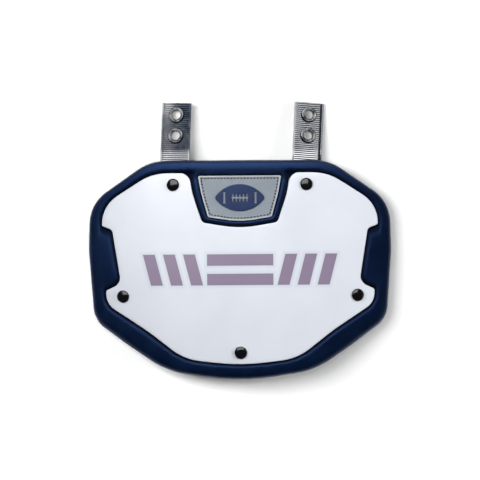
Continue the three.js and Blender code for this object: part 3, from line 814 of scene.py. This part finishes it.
def set_on_places_tree():
    """Sets one piece on every place, standing along the place's axis."""
    tree, given, out = geometry_tree("Set on places", ("Piece", "Object"), ("Size", "Float", 1.0))
    turn = put(tree, "FunctionNodeAlignRotationToVector", {"Vector": stored(tree, "axis")}, axis="Z")
    piece = put(tree, "GeometryNodeObjectInfo", {"Object": given["Piece"]})
    inputs = {
        "Points": given["Geometry"],
        "Instance": piece.outputs["Geometry"],
        "Rotation": turn.outputs[0],
        "Scale": given["Size"],
    }
    return end_tree(tree, given, out, put(tree, "GeometryNodeInstanceOnPoints", inputs))


def stitch_tree():
    """Lays stitches along the edges of a line, each a flattened bead of thread."""
    labels = ("Pitch", "Stitch Length", "Thread Width", "Thread Height")
    tree, given, out = geometry_tree("Stitch line", *[(label, "Float", MM) for label in labels])
    line = put(tree, "GeometryNodeMeshToCurve", {0: given["Geometry"]})
    inputs = {"Curve": line.outputs[0], "Length": given["Pitch"]}
    spaced = put(tree, "GeometryNodeResampleCurve", inputs, mode="LENGTH")
    tangent = put(tree, "GeometryNodeInputTangent").outputs[0]
    along = put(tree, "FunctionNodeAlignRotationToVector", {"Vector": tangent}, axis="X")
    inputs = {"Rotation": along.outputs[0], "Vector": stored(tree, "axis")}
    level = put(tree, "FunctionNodeAlignRotationToVector", inputs, axis="Z", pivot_axis="X")
    bead = put(tree, "GeometryNodeMeshUVSphere", {"Segments": 10, "Rings": 6, "Radius": 0.5})
    smooth = put(tree, "GeometryNodeSetShadeSmooth", {0: bead.outputs[0]})
    sizes = {"X": given["Stitch Length"], "Y": given["Thread Width"], "Z": given["Thread Height"]}
    inputs = {
        "Points": spaced.outputs[0],
        "Instance": smooth.outputs[0],
        "Rotation": level.outputs[0],
        "Scale": put(tree, "ShaderNodeCombineXYZ", sizes).outputs[0],
    }
    return end_tree(tree, given, out, put(tree, "GeometryNodeInstanceOnPoints", inputs))


def rib_tree():
    """Raises even ribs across a strap, where its lift attribute lets them."""
    tree, given, out = geometry_tree("Strap ribs", ("Pitch", "Float", 2.0), ("Rise", "Float", 0.5))
    along = calc(tree, "DIVIDE", stored(tree, "along", "FLOAT"), given["Pitch"])
    # The arccosine of a flattened cosine has straight flanks and rounded crests.
    wave = calc(tree, "COSINE", calc(tree, "MULTIPLY", along, math.tau))
    wave = calc(tree, "MULTIPLY", wave, RIB_SHARPNESS)
    height = calc(tree, "DIVIDE", calc(tree, "ARCCOSINE", wave), math.pi)
    inputs = {0: stored(tree, "lift"), "Scale": calc(tree, "MULTIPLY", height, given["Rise"])}
    push = put(tree, "ShaderNodeVectorMath", inputs, operation="SCALE").outputs[0]
    raised = put(tree, "GeometryNodeSetPosition", {"Geometry": given["Geometry"], "Offset": push})
    return end_tree(tree, given, out, raised)


SET_ON_PLACES = set_on_places_tree()
STITCH_LINE = stitch_tree()
STRAP_RIBS = rib_tree()


def places_object(name, rows, closed=False):
    """Points with an axis each, for a tree to set pieces on. A closed row of points gets edges too."""
    mesh = bpy.data.meshes.new(name)
    edges = [(i, (i + 1) % len(rows)) for i in range(len(rows))] if closed else []
    mesh.from_pydata([place for place, _ in rows], edges, [])
    attribute = mesh.attributes.new("axis", "FLOAT_VECTOR", "POINT")
    attribute.data.foreach_set("vector", [v for _, axis in rows for v in axis])
    return new_object(name, mesh)


def set_on_places(name, geometry, rows, material):
    piece = mesh_object(f"{name}_pattern", *geometry)
    made = places_object(f"{name}_places", rows)
    made = run_tree(made, SET_ON_PLACES, name, piece=piece, size=1.0, finish=material)
    bpy.data.objects.remove(piece)
    return made


# Foam pad


def badge_corner(row):
    return (row[0] * BADGE_WIDTH / 2, BADGE_TOP - row[1] * BADGE_HEIGHT, row[2] * BADGE_HEIGHT)


def notch_corner(i, top):
    x, y, _ = badge_corner(BADGE_CORNERS[i])
    _, _, _, side, foot, notch_round = BADGE_CORNERS[i]
    return (x + side * FRAME_SIDE, top if i == 0 else y - foot * FRAME_FOOT, notch_round * BADGE_HEIGHT)


def badge_notch_rows(top):
    return [notch_corner(i, top) for i in range(len(BADGE_CORNERS))]


FRAME_TOP = HALF_HEIGHT - BADGE_DROP / 2
FRAME_PLAN = plan_of(mirrored(badge_notch_rows(PLATE_TOP)))
BADGE_OUTLINE = mirrored([badge_corner(row) for row in BADGE_CORNERS])


def side_notch(side, inset, top_gap=0.0):
    top_tip, top_inner, low_inner, low_tip = [(complex(x, y), r) for x, y, r in in_pad(SIDE_NOTCH)]

    def beyond(inner, tip):
        reach = tip[0] - inner[0]
        return (tip[0] + reach / abs(reach) * BUMP_ROOT, NOTCH_TIP_ROUND)

    corners = [beyond(top_inner, top_tip), top_inner, low_inner, beyond(low_inner, low_tip)]
    corners = inset_corners(corners, inset)
    corners = [(p - 1j * top_gap if i < 2 else p, r) for i, (p, r) in enumerate(corners)]
    loop = [complex(side * p.real, p.imag) for p in outline(corners)]
    return loop if side > 0 else loop[::-1]


def plate_seat(plan=None):
    return outline(inset_corners(mirrored(in_pad(PLATE_CORNERS)), -EDGE_GAP), plan)


def pad_body():
    pad_corners = mirrored(in_pad(PAD_CORNERS))
    plan = plan_of(pad_corners)
    outer = [at_face(p, -WAIST_DEPTH) for p in outline(pad_corners, plan)]
    seat = plate_seat(plan)
    rim = [(mix(outer, seat, across), h) for across, h in spline(RIM_SECTION, 4)]
    back = [(towards(rim[0][0], 0, k / PAD_RINGS), -PAD_THICKNESS) for k in range(PAD_RINGS - 1, 0, -1)]
    field = [(towards(seat, 0, k / PAD_RINGS), -FIELD_DEPTH) for k in range(PAD_RINGS)]
    return moulded(back + rim + field, 0, -PAD_THICKNESS, -FIELD_DEPTH)


def pad_bump(side):
    loop = side_notch(side, EDGE_GAP, BUMP_TOP_GAP - EDGE_GAP)
    middle = sum(loop) / len(loop)
    top = [(towards(loop, middle, across), h) for across, h in spline(BUMP_SECTION, 3)]
    rings = [(loop, -2 * FIELD_DEPTH)] + top + [(towards(loop, middle, s), BUMP_RISE) for s in (0.75, 0.9)]
    return moulded(rings, middle, -2 * FIELD_DEPTH, BUMP_RISE)


def frame_share(point):
    """How much of its height the badge's frame has: its top bar sinks into the rim behind it."""
    share = clamp((point.imag - FRAME_SINK_START) / FRAME_SINK_LENGTH)
    return 1 - FRAME_SINK * share * share * (3 - 2 * share)


def badge_frame():
    outer = outline(inset_corners(mirrored(badge_notch_rows(FRAME_TOP)), EDGE_GAP), FRAME_PLAN)
    inner = outline(inset_corners(BADGE_OUTLINE, -BADGE_GAP), FRAME_PLAN)
    floor = -BADGE_LOW - BENT_GAP
    rings = [(outer, -2 * FIELD_DEPTH)]
    for across, h in spline(FRAME_SECTION, 4):
        points = mix(outer, inner, across)
        rings.append((points, [min(h, h * frame_share(p)) for p in points]))
    rings += [(inner, -0.2), (inner, floor)]
    rings += [(towards(inner, BADGE_MIDDLE, k / 8), floor) for k in range(1, 8)]
    return moulded(rings, BADGE_MIDDLE, -2 * FIELD_DEPTH, floor)


def shade_crevices(mesh):
    """Marks how deep each place lies in the gaps round the plate, where the cloth gets no light, for the
    shade painted there.
    """
    reach = [0.0] * 360
    for point in resampled(plate_seat(), 1.0):
        degree = int(math.degrees(math.atan2(point.imag, point.real)))
        for k in range(degree - 2, degree + 3):
            reach[k % 360] = max(reach[k % 360], abs(point))
    depths = []
    for vertex in mesh.vertices:
        x, y, z = vertex.co / MM
        flat = complex(x, y - PAD_MIDDLE_Y)
        height = z - FACE_HEIGHT + drop_at(flat.real, flat.imag)
        degree = int(math.degrees(math.atan2(flat.imag, flat.real))) % 360
        within = CREVICE_FLOOR < height and abs(flat) < reach[degree] + CREVICE_REACH
        depths.append(clamp((CREVICE_TOP - height) / CREVICE_DEPTH) if within else 0.0)
    mesh.attributes.new("crevice_shade", "FLOAT", "POINT").data.foreach_set("value", depths)


def smoothed(made, name, rounds, group=""):
    smooth = made.modifiers.new("Smooth", "SMOOTH")
    smooth.factor = 0.5
    smooth.iterations = rounds
    smooth.vertex_group = group
    return baked(made, name)


def foam_pad():
    made = mesh_object("foam_pad_rough", *joined(pad_body(), badge_frame(), pad_bump(1), pad_bump(-1)))
    remesh = made.modifiers.new("Remesh", "REMESH")
    remesh.mode = "VOXEL"
    remesh.voxel_size = FOAM_VOXEL * MM
    remesh.use_smooth_shade = True
    made = smoothed(made, "foam_pad_rough", 3)
    arms = [bend(complex(side * ARM_PLACE[0], ARM_PLACE[1]), 0) for side in (-1, 1)]
    near = [v.index for v in made.data.vertices if min((v.co - arm).length for arm in arms) < ARM_REACH * MM]
    made.vertex_groups.new(name="arms").add(near, 1.0, "REPLACE")
    made = smoothed(made, "foam_pad_body", 16, "arms")
    # Real foam is never quite even.
    normals = [row.vector.copy() for row in made.data.vertex_normals]
    for vertex, normal in zip(made.data.vertices, normals):
        if vertex.co.z > FLAT_FOOT * MM:
            swell = sum(noise.noise(vertex.co * waves) * height for waves, height in SWELLS)
            vertex.co += normal * swell * MM
    shade_crevices(made.data)
    made.data.shade_smooth()
    finish(made, NAVY_CLOTH, "foam", "foam_pad")


# Plate, badge and motif


def plate_loop():
    loop = resampled(outline(mirrored(in_pad(PLATE_CORNERS))), 1.2)
    x = notch_corner(0, 0)[0]
    lip = PLATE_TOP + SEAT_GAP
    flare = [(x + 2 * TAB_ROUND, HALF_HEIGHT, NOTCH_TIP_ROUND), (x + 2 * TAB_ROUND, lip, NOTCH_TIP_ROUND)]
    top_notch = outline(mirrored(flare + badge_notch_rows(lip)))
    for notch in (top_notch, side_notch(1, 0), side_notch(-1, 0)):
        loop = carved(loop, resampled(notch, 0.9))
    return eased(resampled(loop, 1.0), 2)


def face_plate():
    loop = plate_loop()
    outer = edge_rings(loop, -PLATE_THICKNESS, 0, 0.9)
    bores = [circle(centre, RIVET_SHANK_RADIUS + SEAT_GAP, 24) for centre in RIVETS.values()]
    holes = [[(bore, -PLATE_THICKNESS), (bore, 0)] for bore in bores]
    inner = grid_inside([outer[-1][0]] + bores, 4.0, 1.6)
    made = mesh_object("face_plate_body", *slab(outer, holes, inner, bend))
    finish(made, PRINTED_PLATE, "hard_white", "face_plate")


def badge():
    top = BADGE_BORDER_RISE - BADGE_FACE_DEPTH
    section = [
        (0.3, -BADGE_LOW), (0, 0.3 - BADGE_LOW), (0, top - 0.4), (0.12, top - 0.12), (0.4, top),
        (BADGE_BORDER - 0.2, top), (BADGE_BORDER + 0.1, top - 0.15),
        (BADGE_BORDER + 0.35, -BADGE_FACE_DEPTH),
    ]
    rings = [(outline(inset_corners(BADGE_OUTLINE, d), FRAME_PLAN), h) for d, h in section]
    inner = grid_inside([rings[-1][0]], 3.0, 1.5)
    made = mesh_object("badge_body", *slab(rings, [], inner, bend), sharp=math.radians(60))
    finish(made, GREY_RUBBER, "grey_rubber", "badge")
    made.data.materials.append(PALE_RUBBER)
    count = len(rings[0][0])
    border = {i for k in range(2, 7) for i in range(k * count, (k + 1) * count)}
    for polygon in made.data.polygons:
        if all(i in border for i in polygon.vertices):
            polygon.material_index = 1


def badge_stitches():
    loop = outline(inset_corners(BADGE_OUTLINE, BADGE_BORDER + STITCH_INSET), FRAME_PLAN)
    rows = [standing(p, -BADGE_FACE_DEPTH + 0.05) for p in loop]
    line = places_object("stitch_line", rows, closed=True)
    sizes = {label: size * MM for label, size in STITCH_SIZES.items()}
    finish(run_tree(line, STITCH_LINE, "badge_stitches", finish=BLACK_THREAD, **sizes), None, "navy_rubber")


def ball_depth(share):
    half = MOTIF_HEIGHT / 2
    radius = (MOTIF_WIDTH**2 / 4 + half**2) / (2 * half)
    return half - sag(share * MOTIF_WIDTH / 2, radius)


def ball_loop():
    blunt = 0.97
    shares = [blunt * (k / 20 - 1) for k in range(41)]
    lower = [complex(s * MOTIF_WIDTH / 2, -ball_depth(s)) for s in shares]
    return [BADGE_MIDDLE + p for p in lower + [p.conjugate() for p in reversed(lower)]]


def box_loop(centre, width, height):
    return outline([(centre + complex(a * width, b * height) / 2, 0.3) for a, b in SQUARE])


def lace_loop():
    """One slot for the laces: a long run with short crossings."""
    spots = [(k / (LACE_COUNT - 1) - 0.5) * (LACE_RUN - 2 * LACE_WIDTH) for k in range(LACE_COUNT)]
    w, run, cross = LACE_WIDTH / 2, LACE_RUN / 2, LACE_CROSS / 2
    lower = [complex(-run, -w)]
    for x in spots:
        lower += [complex(x - w, -w), complex(x - w, -cross), complex(x + w, -cross), complex(x + w, -w)]
    lower.append(complex(run, -w))
    points = lower + [-p for p in lower]
    return outline([(p + BADGE_MIDDLE, 0.25) for p in points])


def badge_motif():
    low = SEAT_GAP - BADGE_FACE_DEPTH
    high = low + MOTIF_RISE
    reach = 2 * BAND_REACH * ball_depth(BAND_PLACE)
    bands = [box_loop(BADGE_MIDDLE + s * BAND_PLACE * MOTIF_WIDTH / 2, BAND_WIDTH, reach) for s in (-1, 1)]
    slots = [resampled(loop, 0.6) for loop in [lace_loop()] + bands]
    bevel = 0.18
    outer = edge_rings(resampled(ball_loop(), 0.8), low, high, bevel)
    holes = [edge_rings(slot, low, high, bevel, away=-1) for slot in slots]
    inner = grid_inside([outer[-1][0]] + [h[-1][0] for h in holes], 2.0, 0.8)
    made = mesh_object("badge_motif_body", *slab(outer, holes, inner, bend))
    finish(made, NAVY_RUBBER, "navy_rubber", "badge_motif")


# Rivets, straps and eyelets

STRAP_GAP = (
    SEAT_GAP
    + sag(STRAP_WIDTH / 2 + STRAP_SHIFT, BODY_RADIUS - PAD_THICKNESS)
    + sag(STRAP_BEND_START, SPINE_RADIUS - PAD_THICKNESS)
)


def rivet_geometry(held):
    steps = 9
    foot = -held - RIVET_FOOT_THICKNESS
    rows = [
        (0, foot), (RIVET_FOOT_RADIUS - 0.3, foot), (RIVET_FOOT_RADIUS, foot + 0.3),
        (RIVET_FOOT_RADIUS, -held), (RIVET_SHANK_RADIUS, -held), (RIVET_SHANK_RADIUS, SEAT_GAP),
        (RIVET_HEAD_RADIUS - 0.2, SEAT_GAP), (RIVET_HEAD_RADIUS, SEAT_GAP + 0.2),
        (RIVET_HEAD_RADIUS, SEAT_GAP + HEAD_WALL),
    ]
    for a in (math.radians(90 * k / steps) for k in range(1, steps)):
        rise = (RIVET_HEAD_RISE - HEAD_WALL) * math.sin(a)
        rows.append((RIVET_HEAD_RADIUS * math.cos(a), SEAT_GAP + HEAD_WALL + rise))
    return turned(rows + [(0, SEAT_GAP + RIVET_HEAD_RISE)])


def rivets():
    pad = PAD_THICKNESS + BENT_GAP
    for name, held in (("plate_rivets", pad), ("strap_rivets", pad + STRAP_GAP + STRAP_DEPTH)):
        nodes = [node for node in RIVETS if ("top" in node) == (name == "strap_rivets")]
        rows = [standing(RIVETS[node], 0) for node in nodes]
        made = set_on_places(name, rivet_geometry(held), rows, BLACK_ENAMEL)
        finish(made, None, "black_enamel", *nodes)


def frame_at(point, h, lean):
    place, up = standing(point, h)
    along = Vector((math.sin(lean), math.cos(lean), 0))
    along.z = -along.dot(up) / up.z
    along.normalize()
    turn = Matrix((along.cross(up), along, up)).transposed().to_4x4()
    return Matrix.Translation(place / MM) @ turn


def strap_place(s):
    """How far along and below a place on the strap lies, and how far the strap has turned down there."""
    turn = STRAP_DROOP * clamp((s - STRAP_BEND_START) / STRAP_BEND_LENGTH)
    radius = STRAP_BEND_LENGTH / STRAP_DROOP
    past = max(0, s - STRAP_BEND_START - STRAP_BEND_LENGTH)
    along = min(s, STRAP_BEND_START) + radius * math.sin(turn) + past * math.cos(turn)
    return along, radius * (1 - math.cos(turn)) + past * math.sin(turn), turn


EYELETS = {"far": STRAP_REACH - EYELET_FROM_TIP, "near": STRAP_REACH - EYELET_FROM_TIP - EYELET_SPACING}


def up_from(matrix, turn):
    return matrix.to_3x3() @ Vector((0, math.sin(turn), math.cos(turn)))


def mark_ribs(mesh, matrix, shift, start):
    """Writes how far along the strap each place lies, and which way and how much the ribs lift it."""
    bent = STRAP_BEND_START + STRAP_BEND_LENGTH
    bend_end, _, full_turn = strap_place(bent)
    inverse = matrix.inverted()
    along, lift = [], []
    for vertex in mesh.vertices:
        local = inverse @ (vertex.co / MM)
        s = local.y
        if s > bent:
            s = bent + (local.y - bend_end) / math.cos(full_turn)
        _, below, turn = strap_place(s)
        height = (local.z + below) / math.cos(turn)
        holes = [complex(local.x, s - e) for e in EYELETS.values()] + [complex(local.x + shift, s)]
        near = min(abs(hole) for hole in holes)
        side = (STRAP_WIDTH / 2 - abs(local.x) - STRAP_MARGIN) / 0.5
        edge = min(side, (STRAP_REACH - s) / 0.8, (s - start) / 0.8)
        ribbed = clamp(min(edge, (near - RIB_CLEARANCE) / 0.6)) if height > -STRAP_DEPTH / 2 else 0
        along.append(s - start)
        lift += list(up_from(matrix, turn) * ribbed)
    mesh.attributes.new("along", "FLOAT", "POINT").data.foreach_set("value", along)
    mesh.attributes.new("lift", "FLOAT_VECTOR", "POINT").data.foreach_set("vector", lift)


def strap(side, matrix, shift):
    def place(p, h):
        along, below, turn = strap_place(p.imag)
        return matrix @ Vector((p.real, along + h * math.sin(turn), h * math.cos(turn) - below)) * MM

    length = math.floor((STRAP_REACH + STRAP_TAIL) / RIB_PITCH) * RIB_PITCH
    start = STRAP_REACH - length
    half = STRAP_WIDTH / 2
    corners = [(complex(a * half, start + length * (b > 0)), 0.8) for a, b in SQUARE]
    outer = edge_rings(resampled(outline(corners), STRAP_STEP), -STRAP_DEPTH, -RIB_RISE, 0.25)
    bores = [circle(complex(0, s), EYELET_BORE_RADIUS + EYELET_WALL + SEAT_GAP, 40) for s in EYELETS.values()]
    bores.append(circle(-shift, RIVET_SHANK_RADIUS + SEAT_GAP, 24))
    holes = [[(bore, -STRAP_DEPTH), (bore, -RIB_RISE)] for bore in bores]
    columns = [half * k / 7 for k in range(1, 6)]
    columns += [half - 1.0, half - STRAP_MARGIN, half - STRAP_MARGIN - 0.5]
    columns = sorted([-c for c in columns] + [0.0] + columns)
    steps = round(length / STRAP_STEP)
    inner = [complex(x, start + length * k / steps) for k in range(2, steps - 1) for x in columns]
    clearances = [(-shift, RIVET_CLEARANCE)] + [(complex(0, s), EYELET_CLEARANCE) for s in EYELETS.values()]
    for hole, clear in clearances:
        inner = [p for p in inner if abs(p - hole) > clear]
    made = mesh_object(f"strap_{side}_slab", *slab(outer, holes, inner, place))
    mark_ribs(made.data, matrix, shift, start)
    sizes = {"pitch": RIB_PITCH, "rise": 0.9 * RIB_RISE * MM}
    made = run_tree(made, STRAP_RIBS, f"strap_{side}_body", finish=SMOKED_VINYL, **sizes)
    finish(made, None, "smoked_vinyl", f"strap_{side}")


def eyelet_geometry():
    barrel = EYELET_BORE_RADIUS + EYELET_WALL
    low = -STRAP_DEPTH - SEAT_GAP
    foot = low - EYELET_FOOT_THICKNESS
    ring = EYELET_FLANGE_RADIUS
    rows = [
        (EYELET_BORE_RADIUS, foot + 0.2), (EYELET_BORE_RADIUS + 0.25, foot),
        (EYELET_FOOT_RADIUS - 0.2, foot), (EYELET_FOOT_RADIUS, foot + 0.2), (EYELET_FOOT_RADIUS, low),
        (barrel, low), (barrel, SEAT_GAP), (ring - 0.3, SEAT_GAP),
    ]
    # The flange: a sloping outer roll, a narrow groove, and the lip that turns into the bore.
    over = [
        (ring, 0.15), (ring - 0.35, 0.65), (ring - 0.8, 1.05), (ring - 1.3, 1.2), (ring - 1.7, 0.95),
        (ring - 2.0, 1.05), (ring - 2.4, 1.5), (ring - 2.7, EYELET_FLANGE_RISE), (ring - 3.1, 1.35),
        (EYELET_BORE_RADIUS, 0.8),
    ]
    rows += [(r, SEAT_GAP + z) for r, z in spline(over, 3)]
    rows.append(rows[0])
    return turned(rows)


def straps_and_eyelets():
    rows = []
    for side, (outwards, lean) in STRAPS.items():
        shift = outwards * STRAP_SHIFT
        matrix = frame_at(RIVETS[f"rivet_top_{side}"], -PAD_THICKNESS - STRAP_GAP, lean)
        matrix = matrix @ Matrix.Translation((shift, 0, 0))
        strap(side, matrix, shift)
        for s in EYELETS.values():
            along, below, turn = strap_place(s)
            rows.append((matrix @ Vector((0, along, -below)) * MM, up_from(matrix, turn)))
    made = set_on_places("eyelets", eyelet_geometry(), rows, GUNMETAL)
    finish(made, None, "gunmetal", *[f"eyelet_{s}_{e}" for s in STRAPS for e in EYELETS])


# Studio


def floor_and_world(scene):
    mesh = bpy.data.meshes.new("floor")
    mesh.from_pydata([(x * FLOOR_REACH, y * FLOOR_REACH, 0) for x, y in SQUARE], [], [(0, 1, 2, 3)])
    plain = {"base_color": (0.93, 0.93, 0.93, 1), "emission_color": (1, 1, 1, 1)}
    material, tree, shader = new_material("pale_floor", roughness=0.9, specular_ior_level=0.0, **plain)
    # Far from the part, where the lights fade, the floor stays as pale as near it, and lights nothing.
    away = put(tree, "ShaderNodeVectorMath", {0: object_place(tree)}, operation="LENGTH").outputs["Value"]
    seen = put(tree, "ShaderNodeLightPath").outputs["Is Camera Ray"]
    glow = calc(tree, "MULTIPLY", ramp(tree, away, *FLOOR_FADE), seen)
    tree.links.new(glow, shader.inputs["Emission Strength"])
    mesh.materials.append(material)
    new_object("floor", mesh)

    world = bpy.data.worlds.new("studio")
    world.use_nodes = True
    tree = world.node_tree
    dim = tree.nodes["Background"]
    dim.inputs["Color"].default_value = (0.95, 0.97, 1, 1)
    dim.inputs["Strength"].default_value = 0.04
    pale = put(tree, "ShaderNodeBackground", {"Color": (1, 1, 1, 1), "Strength": 1.0}).outputs[0]
    seen = put(tree, "ShaderNodeLightPath").outputs["Is Camera Ray"]
    both = put(tree, "ShaderNodeMixShader", {0: seen, 1: dim.outputs[0], 2: pale})
    tree.links.new(both.outputs[0], tree.nodes["World Output"].inputs["Surface"])
    scene.world = world


def lights():
    """The soft box beyond the straps draws the highlights, three lights without gloss give the even light
    and the soft shadows to the right and below, and the last lights the plate alone."""
    for name, place, size, power, in_gloss in (
        ("soft_box", (-0.1, 0.96, 1.15), (2.0, 1.4), 42, True),
        ("key", (-0.94, 0.36, 1.5), (0.6, 1.4), 35, False),
        ("top_fill", (0, 0.1, 2.4), (0.5, 0.5), 11, False),
        ("right_fill", (1.7, -0.1, 1.0), (0.8, 0.5), 21, False),
        ("plate_fill", (1.25, 0.8, 0.95), (0.8, 0.5), 13, False),
    ):
        light = bpy.data.lights.new(name, "AREA")
        light.shape = "RECTANGLE"
        light.size, light.size_y = size
        light.energy = power
        lamp = new_object(name, light)
        lamp.location = place
        lamp.rotation_euler = Vector(place).to_track_quat("Z", "Y").to_euler()
        lamp.visible_glossy = in_gloss
        lamp.visible_diffuse = not in_gloss
    plate_only = bpy.data.collections.new("lit_by_plate_fill")
    plate_only.objects.link(bpy.data.objects["face_plate_body"])
    lamp.light_linking.receiver_collection = plate_only


def studio():
    scene = bpy.context.scene
    scene.view_settings.view_transform = "Standard"
    floor_and_world(scene)
    lights()
    # A long lens from high above, over a pad that lies turned a little in the picture.
    camera = bpy.data.cameras.new("camera")
    camera.sensor_width = 36
    camera.lens = camera.sensor_width * CAMERA_DISTANCE / VIEW_WIDTH
    camera.clip_end = 20
    eye = new_object("camera", camera)
    up, above = VIEW_MIDDLE
    eye.location = (0, (PAD_MIDDLE_Y + up) * MM, CAMERA_DISTANCE + above * MM)
    eye.rotation_euler = (0, 0, -PAD_TURN)
    scene.camera = eye


foam_pad()
face_plate()
badge()
badge_stitches()
badge_motif()
rivets()
straps_and_eyelets()
studio()
